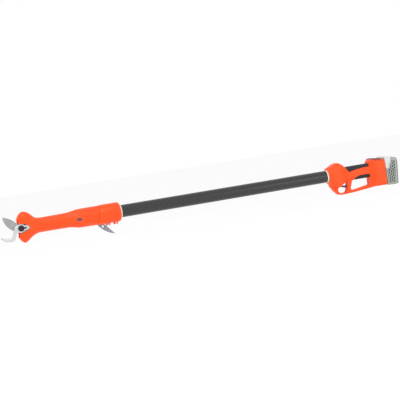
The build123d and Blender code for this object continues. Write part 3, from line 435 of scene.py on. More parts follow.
def carbon_twill():
    """Carbon twill under clear coat: two over, two under, read from the tube's own tow grid; the over tows are
    painted lighter and the under tows darker, as lit and shaded fibre.
    """
    pole = bpy.context.scene.pruner_pole
    finish = Finish("carbon_twill", specular=0.3, coat=0.3, coat_roughness=0.2)
    grid = finish.tree.nodes.new("ShaderNodeUVMap")
    grid.uv_map = "tows"
    split = finish.tree.nodes.new("ShaderNodeSeparateXYZ")
    finish.link(grid.outputs["UV"], split, "Vector")
    across, along = split.outputs["X"], split.outputs["Y"]
    step = finish.math("ADD", finish.math("FLOOR", across), finish.math("FLOOR", along))
    over = finish.math("LESS_THAN", finish.math("MODULO", step, 4.0), 2.0)
    warp_crown = finish.math("SINE", finish.math("MULTIPLY", finish.math("FRACT", across), math.pi))
    weft_crown = finish.math("SINE", finish.math("MULTIPLY", finish.math("FRACT", along), math.pi))
    under = finish.math("SUBTRACT", 1.0, over)
    crown = finish.math(
        "ADD", finish.math("MULTIPLY", warp_crown, over), finish.math("MULTIPLY", weft_crown, under)
    )
    fibre = finish.noise(1.0, 4.0, vector=finish.stretched((240.0, 2600.0, 2600.0)))
    # Painted light and shade: the tows that pass over get the light colour, as fibre catching the light, and
    # the tows that pass under get the dark colour, as fibre turned from it.
    light = finish.tones(fibre, [(0.3, shade(pole.carbon_light, 0.75)), (0.7, tuple(pole.carbon_light))])
    dark = finish.tones(fibre, [(0.3, tuple(pole.carbon_dark)), (0.7, shade(pole.carbon_dark, 1.9))])
    finish.colour(finish.blend(over, dark, light))
    finish.roughness(finish.spread(crown, 0.5, 0.3, 0.0, 1.0))
    finish.bump(crown, 0.00012, 0.5)
    return finish.material


def plate_paint():
    """Satin grey coating of the branch hook, with small rubbed patches."""
    finish = Finish("plate_paint", metallic=0.6, specular=0.5)
    rub = finish.noise(130.0, 6.0)
    coat, worn, bare = (0.21, 0.215, 0.24), (0.28, 0.285, 0.31), (0.42, 0.42, 0.44)
    finish.colour(finish.tones(rub, [(0.35, coat), (0.62, worn), (0.75, bare)]))
    finish.roughness(finish.spread(rub, 0.52, 0.34))
    finish.bump(finish.noise(1600.0, 2.0), 0.00003, 0.5)
    return finish.material


def solder_mask():
    """Green solder mask over faint copper runs."""
    finish = Finish("solder_mask", specular=0.5, coat=0.4)
    runs = finish.tree.nodes.new("ShaderNodeTexBrick")
    runs.inputs["Scale"].default_value = 260.0
    runs.inputs["Mortar Size"].default_value = 0.09
    runs.inputs["Color1"].default_value = (0.012, 0.10, 0.035, 1.0)
    runs.inputs["Color2"].default_value = (0.014, 0.12, 0.045, 1.0)
    runs.inputs["Mortar"].default_value = (0.03, 0.19, 0.07, 1.0)
    finish.link(finish.coordinates, runs, "Vector")
    finish.colour(runs.outputs["Color"])
    finish.roughness(finish.spread(finish.noise(300.0), 0.28, 0.4))
    finish.bump(runs.outputs["Fac"], 0.00003, 0.5)
    return finish.material


def battery_plastic():
    """Grey-green battery plastic, with painted shade: black down inside the vents, where shade falls."""
    battery = bpy.context.scene.pruner_battery
    low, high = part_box("battery_case")
    finish = Finish("battery_plastic", specular=0.4)
    cloud = finish.noise(26.0)
    skin = finish.tones(cloud, [(0.3, shade(battery.grey, 0.9)), (0.7, shade(battery.grey, 1.08))])
    split = finish.tree.nodes.new("ShaderNodeSeparateXYZ")
    finish.link(finish.coordinates, split, "Vector")
    width = finish.math("ABSOLUTE", split.outputs["Y"])
    # Painted shade: the floors and lower walls of the vents, a little over a millimetre below the face, are
    # coloured near black.
    floor_of_vent = high[1] - 0.45 * MM
    deep = finish.spread(width, 1.0, 0.0, floor_of_vent - 0.6 * MM, floor_of_vent)
    inside = finish.math("GREATER_THAN", width, high[1] - 1.8 * MM)
    dark = finish.tones(cloud, [(0.3, (0.012, 0.013, 0.012)), (0.7, (0.022, 0.023, 0.022))])
    finish.colour(finish.blend(finish.math("MULTIPLY", deep, inside), skin, dark))
    finish.roughness(finish.spread(finish.noise(70.0, 5.0), 0.42, 0.56))
    finish.bump(finish.cells(1300.0), 0.00004, 0.5)
    return finish.material


def shrink_wrap():
    """Blue shrink wrap on the cells."""
    finish = Finish("shrink_wrap", specular=0.5, coat=0.3)
    fold = finish.noise(1.0, 3.0, vector=finish.stretched((420.0, 90.0, 420.0)))
    finish.colour(finish.tones(fold, [(0.3, (0.02, 0.10, 0.28)), (0.7, (0.035, 0.16, 0.40))]))
    finish.roughness(finish.spread(fold, 0.25, 0.4))
    finish.bump(fold, 0.00015, 0.5)
    return finish.material


# Each slot's maker and what it's given. For a metal: name, darkest and lightest colour, how closely its
# tool marks follow each other along x, y and z, gloss from and to, and depth. For a plastic: name, colour,
# grain, and gloss from and to.
FINISHES = {
    "orange_shell": (orange_plastic,),
    "blade_steel": (
        worked_metal, "ground_steel",
        (0.30, 0.30, 0.31), (0.42, 0.42, 0.43), (300.0, 300.0, 2600.0), (0.34, 0.5),
    ),
    "hook_steel": (
        worked_metal, "bright_steel",
        (0.54, 0.54, 0.55), (0.68, 0.68, 0.69), (900.0, 300.0, 900.0), (0.34, 0.48),
    ),
    "dark_steel": (
        worked_metal, "black_oxide",
        (0.018, 0.018, 0.02), (0.07, 0.07, 0.075), (400.0,) * 3, (0.32, 0.5),
    ),
    "gear_steel": (
        worked_metal, "gear_steel",
        (0.33, 0.32, 0.30), (0.50, 0.49, 0.47), (1500.0,) * 3, (0.2, 0.36),
    ),
    "bronze": (
        worked_metal, "turned_bronze",
        (0.48, 0.27, 0.10), (0.66, 0.42, 0.18), (200.0, 2600.0, 200.0), (0.25, 0.4),
    ),
    "cast_aluminium": (
        worked_metal, "cast_metal",
        (0.52, 0.53, 0.54), (0.68, 0.69, 0.70), (700.0,) * 3, (0.42, 0.58), 0.00008,
    ),
    "motor_steel": (
        worked_metal, "motor_steel",
        (0.12, 0.12, 0.13), (0.2, 0.2, 0.21), (500.0,) * 3, (0.3, 0.45),
    ),
    "copper": (
        worked_metal, "bare_copper",
        (0.55, 0.22, 0.11), (0.82, 0.40, 0.24), (2400.0, 2400.0, 300.0), (0.25, 0.42),
    ),
    "magnet": (
        worked_metal, "magnet_steel",
        (0.22, 0.22, 0.23), (0.38, 0.38, 0.39), (300.0, 2000.0, 2000.0), (0.28, 0.4),
    ),
    "zinc_screw": (
        worked_metal, "zinc_plate",
        (0.46, 0.48, 0.52), (0.66, 0.67, 0.68), (900.0,) * 3, (0.28, 0.42),
    ),
    "spring_steel": (
        worked_metal, "spring_wire",
        (0.30, 0.30, 0.31), (0.52, 0.52, 0.53), (1800.0,) * 3, (0.2, 0.3),
    ),
    "grey_hook_plate": (plate_paint,),
    "carbon_tube": (carbon_twill,),
    "grip_rubber": (soft_rubber,),
    "circuit_board": (solder_mask,),
    "cell_wrap": (shrink_wrap,),
    "battery_grey": (battery_plastic,),
    "battery_light": (moulded_plastic, "cover_plastic", (0.56, 0.57, 0.56), 1100.0, (0.36, 0.5)),
    "pale_ring": (moulded_plastic, "ring_plastic", (0.70, 0.68, 0.58), 1100.0, (0.36, 0.5)),
    "cable_jacket": (moulded_plastic, "cable_jacket", (0.022, 0.022, 0.022), 2200.0, (0.55, 0.7)),
    "black_plastic": (moulded_plastic, "black_plastic", (0.019, 0.019, 0.021), 1500.0, (0.34, 0.5)),
    "component_black": (moulded_plastic, "component_plastic", (0.03, 0.03, 0.034), 3000.0, (0.45, 0.6)),
}


def finish_of(slot):
    """The slot's material, made once."""
    maker, *values = FINISHES[slot]
    name = values[0] if values else maker.__name__
    return bpy.data.materials.get(name) or maker(*values)


# ---------------------------------------------------------------- housings
WINDOW_RADIUS = 15.5 * MM
WINDOW_REAR_RADIUS = 9.5 * MM
WINDOW_LENGTH = 18.5 * MM
RECESS_PLACE = (-1014.0 * MM, -2.0 * MM)
RECESS_REACH = (12.4 * MM, 9.4 * MM)
INSERT_SIZE = (17.0 * MM, 9.0 * MM)
INSERT_TILT = -8.0
INSERT_SPAN = (-30.9 * MM, -28.2 * MM)
NECK_FRONT, NECK_BACK = -1158.0 * MM, -1012.0 * MM
NECK_RIDGE_ANGLE, NECK_RIDGE_SPREAD = 50.0, 9.0


def centre_of(node):
    """Middle of a CAD node's box."""
    low, high = (np.array(corner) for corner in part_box(node))
    return (low + high) / 2


def window_distance(points):
    """Distance outside the window: the nearer of two circles, and of the straight sides between them."""
    pivot = centre_of("pivot_nut")
    x, z = points[:, 0] - pivot[0], points[:, 2] - pivot[2]
    front = np.hypot(x, z) - WINDOW_RADIUS
    rear = np.hypot(x - WINDOW_LENGTH, z) - WINDOW_REAR_RADIUS
    share = x / WINDOW_LENGTH
    side = np.abs(z) - (WINDOW_RADIUS + (WINDOW_REAR_RADIUS - WINDOW_RADIUS) * share)
    side = np.where((share > 0) & (share < 1), side, 1.0)
    return np.minimum(np.minimum(front, rear), side)


def neck_ridge(points, normals, height):
    """Outward lift along two soft ridges, at a set angle above the neck's middle on each side."""
    angle = np.degrees(np.arctan2(points[:, 2], np.abs(points[:, 1])))
    along = ramp(points[:, 0], NECK_FRONT, NECK_FRONT + 25 * MM)
    along *= 1 - ramp(points[:, 0], NECK_BACK - 30 * MM, NECK_BACK)
    outward = (normals[:, 1] * points[:, 1] + normals[:, 2] * points[:, 2]) > 0
    lift = height * bump_curve(angle, NECK_RIDGE_ANGLE, NECK_RIDGE_SPREAD) * along * outward
    return normals * lift[:, None]


def make_head(settings):
    """Both halves of the head, with the window's rim, the recess's rim and the neck's soft ridges."""
    ridge = 0.8 * MM
    lip = 0.7 * MM

    def shape_left(points, normals):
        face = (normals[:, 1] < -0.25).astype(float)
        rim = settings.rim_height * bump_curve(window_distance(points), 1.5 * MM, 1.1 * MM)
        offset = (points[:, [0, 2]] - RECESS_PLACE) / RECESS_REACH
        reach = np.hypot(offset[:, 0], offset[:, 1])
        rim = (rim + lip * bump_curve(reach, 1.0, 0.17)) * face
        move = neck_ridge(points, normals, ridge)
        move[:, 1] -= rim
        return move

    def shape_right(points, normals):
        return neck_ridge(points, normals, ridge)

    for side, shape in (("left", shape_left), ("right", shape_right)):
        node = f"head_shell_{side}"
        mesh = moulded_copy(node, f"head_{side}", settings.head_cell)
        move_points(mesh, shape)
        link_piece(f"head_{side}", mesh, finish_of("orange_shell"), BODY_OF[node], (node,))


def slot_outline(centre, length, height, tilt, steps=12):
    """Straight-sided slot with round ends as an outline, its long axis turned by tilt degrees."""
    radius = height / 2
    reach = length / 2 - radius
    turn = np.linspace(-math.pi / 2, math.pi / 2, steps)
    end = np.column_stack([reach + radius * np.cos(turn), radius * np.sin(turn)])
    outline = np.concatenate([end, -end])
    along = math.radians(tilt)
    turned = outline @ np.array([(math.cos(along), math.sin(along)), (-math.sin(along), math.cos(along))])
    return np.array(centre) + turned


def make_recess_insert():
    """Smoked cover that fills the bottom of the recess on the head's left side."""
    outline = slot_outline(RECESS_PLACE, *INSERT_SIZE, INSERT_TILT)
    mesh = plate("recess_insert", outline, *INSERT_SPAN)
    link_piece("recess_insert", mesh, finish_of("black_plastic"), "frame")


def make_handle(settings):
    """Both halves of the rear handle and the pole's collar."""
    for side in ("left", "right"):
        node = f"handle_shell_{side}"
        mesh = moulded_copy(node, f"handle_{side}", settings.handle_cell, settings.handle_relax)
        link_piece(f"handle_{side}", mesh, finish_of("orange_shell"), BODY_OF[node], (node,))
    mesh = eased_copy("pole_collar", "collar", 0.6 * MM)
    link_piece("collar", mesh, finish_of("orange_shell"), BODY_OF["pole_collar"], ("pole_collar",))


# Along the holder: x, top and half width.
HOLDER_STATIONS = [(45.0, 35.3, 32.5), (56.0, 35.3, 37.2), (70.0, 33.0, 38.0), (86.0, 30.0, 38.0)]
HOLDER_STATIONS = np.array(HOLDER_STATIONS) * MM
HOLDER_CORNER = 11.5 * MM
RIB_PLACES = np.array([47.0, 53.5, 60.0, 66.5, 73.0]) * MM


def arch(x):
    """Outline of the holder's top at x: up round one corner, across, and down round the other."""
    top = np.interp(x, HOLDER_STATIONS[:, 0], HOLDER_STATIONS[:, 1])
    half = np.interp(x, HOLDER_STATIONS[:, 0], HOLDER_STATIONS[:, 2])
    turn = np.linspace(math.pi / 6, math.pi / 2, 9)
    corner_y = half - HOLDER_CORNER + HOLDER_CORNER * np.cos(turn)
    corner_z = top - HOLDER_CORNER + HOLDER_CORNER * np.sin(turn)
    y = np.concatenate([corner_y, -corner_y[::-1]])
    z = np.concatenate([corner_z, corner_z[::-1]])
    return np.column_stack([np.full(len(y), x), y, z])


def swept(name, path, long_axis, width, height):
    """Oval section carried along a path: width along long_axis, height away from the path's inside."""
    step = np.gradient(path, axis=0)
    step /= np.linalg.norm(step, axis=1)[:, None]
    out = np.cross(step, long_axis)
    turn = np.linspace(0.0, 2 * math.pi, 12, endpoint=False)
    section = np.cos(turn)[None, :, None] * np.array(long_axis)[None, None, :] * width / 2
    section = section + np.sin(turn)[None, :, None] * out[:, None, :] * height / 2
    return surface(name, path[:, None, :] + section, wrap_columns=True, caps=True)


def make_holder_ribs():
    """Five dark ribs over the top of the battery holder."""
    ribs = [swept(f"rib_{n}", arch(x), (1.0, 0.0, 0.0), 3.0 * MM, 5.0 * MM) for n, x in enumerate(RIB_PLACES)]
    piece = link_piece(
        "holder_ribs", joined("holder_ribs", ribs), finish_of("black_plastic"), "frame"
    )
    return piece


# ---------------------------------------------------------------- blades
def arc_line(start, middle, end, count):
    """Points at even angles on the circle through three points; its centre is where the bisectors cross."""
    a, b, c = (np.array(point) for point in (start, middle, end))
    rows = np.array([b - a, c - a]) * 2.0
    centre = np.linalg.solve(rows, np.array([b @ b - a @ a, c @ c - a @ a]))
    angles = np.unwrap([math.atan2(*(point - centre)[::-1]) for point in (a, b, c)])
    turn = np.linspace(angles[0], angles[2], count)
    return centre + np.linalg.norm(a - centre) * np.column_stack([np.cos(turn), np.sin(turn)])


def smooth_line(points, count):
    """Points on a natural cubic through the given ones, spaced evenly in distance along them."""
    points = np.array(points)
    knots = np.concatenate([[0.0], np.cumsum(np.linalg.norm(np.diff(points, axis=0), axis=1))])
    gaps = np.diff(knots)
    size = len(points)
    system = np.eye(size)
    inner = np.arange(1, size - 1)
    system[inner, inner - 1] = gaps[:-1]
    system[inner, inner] = 2 * (gaps[:-1] + gaps[1:])
    system[inner, inner + 1] = gaps[1:]
    slopes = np.diff(points, axis=0) / gaps[:, None]
    right = np.zeros_like(points)
    right[1:-1] = 6 * np.diff(slopes, axis=0)
    bend = np.linalg.solve(system, right)
    at = np.linspace(0.0, knots[-1], count)
    span = np.clip(np.searchsorted(knots, at, side="right") - 1, 0, size - 2)
    before, after = (at - knots[span])[:, None], (knots[span + 1] - at)[:, None]
    gap = gaps[span][:, None]
    return (
        (bend[span] * after**3 + bend[span + 1] * before**3) / (6 * gap)
        + (points[span] / gap - bend[span] * gap / 6) * after
        + (points[span + 1] / gap - bend[span + 1] * gap / 6) * before
    )


def blade_between(name, edge, back, flat_y, thickness, bevel, lip, hollow=1.5):
    """Blade from two matching lines (x, z) in metres, the cutting edge and the back.

    Each row runs once round the section: over the flat face from edge to back, then back over the other face.
    That face stands off the flat one by lip at the edge, rising to the full thickness over the bevel's width
    as a power curve, so the bevel is a little hollow.
    """
    share = np.linspace(0.0, 1.0, 22) ** 1.3
    width = np.linalg.norm(back - edge, axis=1)[:, None]
    rise = np.clip(share[None, :] * width / bevel, 0.0, 1.0) ** hollow
    stand = np.sign(thickness) * lip + (thickness - np.sign(thickness) * lip) * rise
    plan = edge[:, None, :] + (back - edge)[:, None, :] * share[None, :, None]
    flat = np.stack([plan[..., 0], np.full(plan.shape[:2], flat_y), plan[..., 1]], axis=-1)
    ground = np.stack([plan[..., 0], flat_y + stand, plan[..., 1]], axis=-1)
    return surface(name, np.concatenate([flat, ground[:, ::-1]], axis=1), wrap_columns=True, caps=True)


def turned_ring(name, centre, outer, inner, start, end, chamfer=0.3 * MM, steps=72):
    """Ring turned round the width axis through centre (x, z): a chamfered profile carried round a circle."""
    profile = np.array([
        (start, inner), (start, outer - chamfer), (start + chamfer, outer), (end - chamfer, outer),
        (end, outer - chamfer), (end, inner),
    ])
    turn = np.linspace(0.0, 2 * math.pi, steps, endpoint=False)
    x = centre[0] + profile[:, 1, None] * np.cos(turn)
    z = centre[1] + profile[:, 1, None] * np.sin(turn)
    y = np.broadcast_to(profile[:, 0, None], x.shape)
    return surface(name, np.stack([x, y, z], axis=-1), wrap_rows=True, wrap_columns=True)


def plate(name, outline, start, end):
    """Flat plate: a closed outline (x, z) carried over the width from start to end."""
    y = np.array([start, end])[:, None]
    x = np.broadcast_to(outline[None, :, 0], (2, len(outline)))
    z = np.broadcast_to(outline[None, :, 1], (2, len(outline)))
    return surface(name, np.stack([x, np.broadcast_to(y, x.shape), z], axis=-1), wrap_columns=True, caps=True)


def round_outline(centre, radius, steps=48):
    """Circle as an outline."""
    turn = np.linspace(0.0, 2 * math.pi, steps, endpoint=False)
    return np.array(centre) + radius * np.column_stack([np.cos(turn), np.sin(turn)])


def combined(name, mesh, steps, ease=0.0):
    """The mesh after adding or cutting others, in order, with its new edges eased."""
    tools = []

    def add_modifiers(holder):
        for number, (operation, tool_mesh) in enumerate(steps):
            tool = bpy.data.objects.new(f"{name}_tool_{number}", tool_mesh)
            bpy.context.collection.objects.link(tool)
            tools.append(tool)
            cut = holder.modifiers.new(operation, "BOOLEAN")
            cut.operation = operation
            cut.object = tool
            cut.solver = "EXACT"
        if ease:
            bevel = holder.modifiers.new("Ease", "BEVEL")
            bevel.width = ease
            bevel.segments = 2
            bevel.limit_method = "ANGLE"
            bevel.angle_limit = math.radians(34.0)

    result = modified(mesh, name, add_modifiers)
    for tool in tools:
        bpy.data.objects.remove(tool)
    result.shade_smooth()
    result.set_sharp_from_angle(angle=math.radians(34.0))
    return result


BLADE_TIP = (-55.0, 44.0)
BLADE_BACK = [(-13.5, 19.5), (-36.5, 37.5)]
BLADE_EDGE = [(-25.5, -4.5), (-49.0, 20.5)]
BLADE_HEEL = [(-12.0, -11.0), (-4.0, 15.0)]
BLADE_EYE, BLADE_BORE = 15.5 * MM, 7.0 * MM
HOOK_INNER = [(-10.0, 12.5), (-19.0, 8.0), (-24.5, 0.0), (-25.5, -6.0), (-28.5, -14.0), (-33.0, -23.5),
              (-41.0, -25.8), (-56.0, -25.4), (-72.5, -20.0)]
HOOK_OUTER = [(-2.0, -13.0), (-15.5, -15.0), (-21.5, -29.5), (-30.0, -37.6), (-44.0, -38.6), (-60.0, -33.6),
              (-72.5, -20.0)]
HOOK_EYE, BOLT_RADIUS = 14.5 * MM, 5.0 * MM
STRAP_LENGTH, STRAP_HALF = 54.0 * MM, 8.5 * MM
STRAP_HOLES = [((15.3, 0.0), 2.0), ((47.0, 4.6), 1.6), ((47.0, -4.6), 1.6)]


def make_cutting_blade():
    """Curved cutting blade with a hollow-ground bevel, joined to the round eye that it swings on."""
    pivot = centre_of("pivot_nut")[[0, 2]]
    low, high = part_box("cutting_blade")
    edge = arc_line(BLADE_EDGE[0], BLADE_EDGE[1], BLADE_TIP, 46)
    back = arc_line(BLADE_BACK[0], BLADE_BACK[1], BLADE_TIP, 46)
    heel = np.linspace(BLADE_HEEL[0], BLADE_EDGE[0], 9)[:-1]
    shoulder = np.linspace(BLADE_HEEL[1], BLADE_BACK[0], 9)[:-1]
    edge = pivot + np.concatenate([heel, edge]) * MM
    back = pivot + np.concatenate([shoulder, back]) * MM
    thickness = high[1] - low[1]
    mesh = blade_between("cutting_blade_steel", edge, back, low[1], thickness, 7.0 * MM, 0.25 * MM)
    inset = 0.04 * MM
    eye = turned_ring("blade_eye", pivot, BLADE_EYE, BLADE_BORE, low[1] + inset, high[1] - inset)
    mesh = combined("cutting_blade_steel", mesh, [("UNION", eye)])
    link_piece("cutting_blade_steel", mesh, finish_of("blade_steel"), "blade", ("cutting_blade",))


def make_hook_blade():
    """Hooked counter blade, its eye and its strap in one plate, drilled for the bolt and screws."""
    pivot = centre_of("pivot_nut")[[0, 2]]
    low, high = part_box("hook_blade")
    inner = pivot + smooth_line(HOOK_INNER, 64) * MM
    outer = pivot + smooth_line(HOOK_OUTER, 64) * MM
    mesh = blade_between(
        "hook_blade_steel", inner, outer, high[1], low[1] - high[1], 3.2 * MM, 1.4 * MM, hollow=0.8
    )
    inset = 0.05 * MM
    eye = plate("hook_eye", round_outline(pivot, HOOK_EYE, 72), low[1] + inset, high[1] - inset)
    strap_outline = pivot + np.array([
        (0.0, -STRAP_HALF), (STRAP_LENGTH - 3 * MM, -STRAP_HALF), (STRAP_LENGTH, -STRAP_HALF + 3 * MM),
        (STRAP_LENGTH, STRAP_HALF - 3 * MM), (STRAP_LENGTH - 3 * MM, STRAP_HALF), (0.0, STRAP_HALF),
    ])
    strap = plate("hook_strap", strap_outline, low[1] + 2 * inset, high[1] - 2 * inset)
    bolt_hole = plate("bolt_hole", round_outline(pivot, BOLT_RADIUS), low[1] - MM, high[1] + MM)
    steps = [("UNION", eye), ("UNION", strap), ("DIFFERENCE", bolt_hole)]
    for place, radius in STRAP_HOLES:
        hole = plate("screw_hole", round_outline(pivot + np.array(place) * MM, radius * MM, 24), low[1] - MM,
                     high[1] + MM)
        steps.append(("DIFFERENCE", hole))
    mesh = combined("hook_blade_steel", mesh, steps, ease=0.3 * MM)
    link_piece("hook_blade_steel", mesh, finish_of("hook_steel"), "frame", ("hook_blade",))


def make_pivot_nut():
    """Round nut with a scalloped rim: the radius dips at even angles, and the shoulders are rounded."""
    low, high = (np.array(corner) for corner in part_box("pivot_nut"))
    centre = (low + high) / 2
    radius = (high[0] - low[0]) / 2
    start, end = low[1], high[1]
    round_edge = 1.2 * MM
    turn = np.linspace(0.0, 2 * math.pi, 192, endpoint=False)
    corner = np.linspace(0.0, math.pi / 2, 6)
    shoulder_y = start + round_edge * (1 - np.sin(corner[::-1]))
    shoulder_r = radius - round_edge + round_edge * np.cos(corner[::-1])
    profile_y = np.concatenate([[start + 0.5 * MM, start], shoulder_y, [end, end]])
    profile_r = np.concatenate([[BOLT_RADIUS, BOLT_RADIUS + 0.6 * MM], shoulder_r, [radius, BOLT_RADIUS]])
    share = np.clip((profile_r - radius * 0.8) / (radius * 0.2), 0.0, 1.0)
    dip = 0.9 * MM * np.maximum(0.0, np.cos(turn * 12)) ** 0.7
    reach = profile_r[:, None] - share[:, None] * dip[None, :]
    x = centre[0] + reach * np.cos(turn)
    z = centre[2] + reach * np.sin(turn)
    y = np.broadcast_to(profile_y[:, None], x.shape)
    mesh = surface("pivot_nut_scalloped", np.stack([x, y, z], axis=-1), wrap_rows=True, wrap_columns=True)
    link_piece("pivot_nut_scalloped", mesh, finish_of("dark_steel"), "frame", ("pivot_nut",))


# ---------------------------------------------------------------- pole
def turned_tube(name, profile, steps, tow=None):
    """Closed profile (x, radius) carried round the pole's axis; tow adds a map counted in tows."""
    turn = np.linspace(0.0, 2 * math.pi, steps, endpoint=False)
    y = profile[:, 1, None] * np.cos(turn)
    z = profile[:, 1, None] * np.sin(turn)
    x = np.broadcast_to(profile[:, 0, None], y.shape)
    mesh = surface(name, np.stack([x, y, z], axis=-1), wrap_rows=True, wrap_columns=True)
    if tow:
        count = len(mesh.loops)
        corner = np.empty(count, dtype=np.int32)
        mesh.loops.foreach_get("vertex_index", corner)
        points = np.empty(len(mesh.vertices) * 3)
        mesh.vertices.foreach_get("co", points)
        points = points.reshape(-1, 3)[corner]
        share = np.arctan2(points[:, 2], points[:, 1]) / (2 * math.pi) % 1.0
        quad = share.reshape(-1, 4)
        quad = np.where((quad.max(axis=1) - quad.min(axis=1) > 0.5)[:, None] & (quad < 0.5), quad + 1.0, quad)
        layer = mesh.uv_layers.new(name="tows")
        around = quad.ravel() * round(2 * math.pi * profile[:, 1].max() / tow)
        layer.data.foreach_set("uv", np.column_stack([around, (points[:, 0] + 2.0) / tow]).ravel())
    return mesh


def make_pole(settings):
    """Carbon tube with its tow map, and the two cream rings at its ends."""
    low, high = (np.array(corner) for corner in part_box("pole_tube"))
    outer = (high[2] - low[2]) / 2
    inner = outer - 2.0 * MM
    ease = 0.4 * MM
    profile = np.array([
        (low[0], inner), (low[0], outer - ease), (low[0] + ease, outer), (high[0] - ease, outer),
        (high[0], outer - ease), (high[0], inner),
    ])
    tow = 2 * math.pi * outer / settings.tows_round
    mesh = turned_tube("carbon_pole", profile, 128, tow)
    link_piece("carbon_pole", mesh, finish_of("carbon_tube"), "frame", ("pole_tube",))
    low, high = (np.array(corner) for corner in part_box("pole_rings"))
    ring_outer = (high[2] - low[2]) / 2
    width = 8.0 * MM
    bands = []
    for name, start in (("front", low[0]), ("rear", high[0] - width)):
        along = np.linspace(0.0, 1.0, 33)
        crown = ring_outer - 0.5 * MM * (2 * along - 1) ** 8 - 0.35 * MM * bump_curve(along, 0.5, 0.09)
        outside = np.column_stack([start + along * width, crown])
        inside = np.array([(start + width, outer + 0.02 * MM), (start, outer + 0.02 * MM)])
        bands.append(turned_tube(f"ring_{name}", np.concatenate([outside, inside]), 128))
    rings = joined("pole_end_rings", bands)
    link_piece("pole_end_rings", rings, finish_of("pale_ring"), "frame", ("pole_rings",))


def make_branch_hook():
    """Grey branch hook plate with eased edges."""
    mesh = eased_copy("branch_hook", "branch_hook_plate", 0.7 * MM, 3)
    link_piece("branch_hook_plate", mesh, finish_of("grey_hook_plate"), "frame", ("branch_hook",))


# ---------------------------------------------------------------- handle parts
def make_grips():
    """Rubber pads of the grip, with shallow slanting channels on their sides."""

    def channels(points, normals):
        side = ramp(np.abs(normals[:, 1]), 0.45, 0.85)
        outward = (normals[:, 1] * points[:, 1]) > 0
        wave = np.sin((points[:, 0] + points[:, 2] * 0.6) * 2 * math.pi / (5.5 * MM))
        return -normals * (0.35 * MM * ramp(wave, 0.55, 0.95) * side * outward)[:, None]

    for place in ("top", "bottom"):
        node = f"grip_pad_{place}"
        mesh = moulded_copy(node, f"rubber_{place}", 0.7 * MM, 3)
        move_points(mesh, channels)
        link_piece(f"rubber_{place}", mesh, finish_of("grip_rubber"), BODY_OF[node], (node,))


def make_trigger():
    """Trigger with its finger curve relaxed and its edges rounded."""
    mesh = moulded_copy("trigger", "trigger_lever_moulded", 0.6 * MM, 4)
    link_piece("trigger_lever_moulded", mesh, finish_of("black_plastic"), "trigger_lever", ("trigger",))


# ---------------------------------------------------------------- battery
VENT_FRONT = np.array([(-60.0, 90.5), (-9.0, 90.5), (-3.0, 101.0), (25.0, 111.5)]) * MM
VENT_REAR = np.array([(-60.0, 121.0), (18.0, 127.0), (25.0, 127.0)]) * MM
VENT_BOTTOM, VENT_TOP = -58.5 * MM, 23.0 * MM
VENT_HALF_LENGTH, VENT_RADIUS = 1.9 * MM, 2.4 * MM
VENT_ROW, VENT_COLUMN = 10.6 * MM, 100.0 * MM
PANEL_PROUD, PANEL_BACK = 0.4 * MM, 1.7 * MM


def vent_share(x, z, pitch):
    """One inside a vent, nought outside: upright slots with round ends, alternate columns half a row lower."""
    column = np.round(x / pitch)
    row_shift = np.where(column % 2 == 0, 0.0, 0.5)
    row = np.round(z / VENT_ROW - row_shift) + row_shift
    across = x - column * pitch
    up = np.maximum(np.abs(z - row * VENT_ROW) - VENT_HALF_LENGTH, 0.0)
    return 1.0 - ramp(np.hypot(across, up) - VENT_RADIUS, -0.35 * MM, 0.35 * MM)


def vent_panel(name, side, settings):
    """Side panel with sunk vents, closed behind: a grid whose stand-off drops wherever a vent is."""
    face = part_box("battery_case")[1][1]
    u, v = np.meshgrid(np.linspace(0.0, 1.0, 118), np.linspace(0.0, 1.0, 190), indexing="ij")
    z = VENT_BOTTOM + (VENT_TOP - VENT_BOTTOM) * v
    front = np.interp(z, VENT_FRONT[:, 0], VENT_FRONT[:, 1])
    rear = np.interp(z, VENT_REAR[:, 0], VENT_REAR[:, 1])
    x = front + (rear - front) * u
    side_border = np.minimum(u, 1 - u) * (rear - front)
    border = np.minimum(side_border, np.minimum(v, 1 - v) * (VENT_TOP - VENT_BOTTOM))
    vents = vent_share(x - VENT_COLUMN, z, settings.vent_pitch) * ramp(border, 1.6 * MM, 2.6 * MM)
    stand = face + PANEL_PROUD - settings.vent_depth * vents
    stand -= PANEL_PROUD * (1.0 - ramp(border, 0.0, 0.7 * MM))
    back = np.full_like(stand, face - PANEL_BACK)
    outside = np.stack([x, side * stand, z], axis=-1)
    inside = np.stack([x, side * back, z], axis=-1)
    sheet = surface(name, outside)
    rim_outside = np.concatenate([outside[:, 0], outside[-1, 1:], outside[-2::-1, -1], outside[0, -2:0:-1]])
    rim_inside = np.concatenate([inside[:, 0], inside[-1, 1:], inside[-2::-1, -1], inside[0, -2:0:-1]])
    wall = surface(f"{name}_wall", np.stack([rim_outside, rim_inside]), wrap_columns=True)
    work = bmesh.new()
    work.from_mesh(sheet)
    work.from_mesh(wall)
    bmesh.ops.remove_doubles(work, verts=work.verts, dist=1e-6)
    edges = [edge for edge in work.edges if edge.is_boundary]
    bmesh.ops.contextual_create(work, geom=edges)
    bmesh.ops.recalc_face_normals(work, faces=work.faces)
    whole = bpy.data.meshes.new(name)
    work.to_mesh(whole)
    work.free()
    for spare in (sheet, wall):
        bpy.data.meshes.remove(spare)
    whole.shade_smooth()
    whole.set_sharp_from_angle(angle=math.radians(40.0))
    return whole


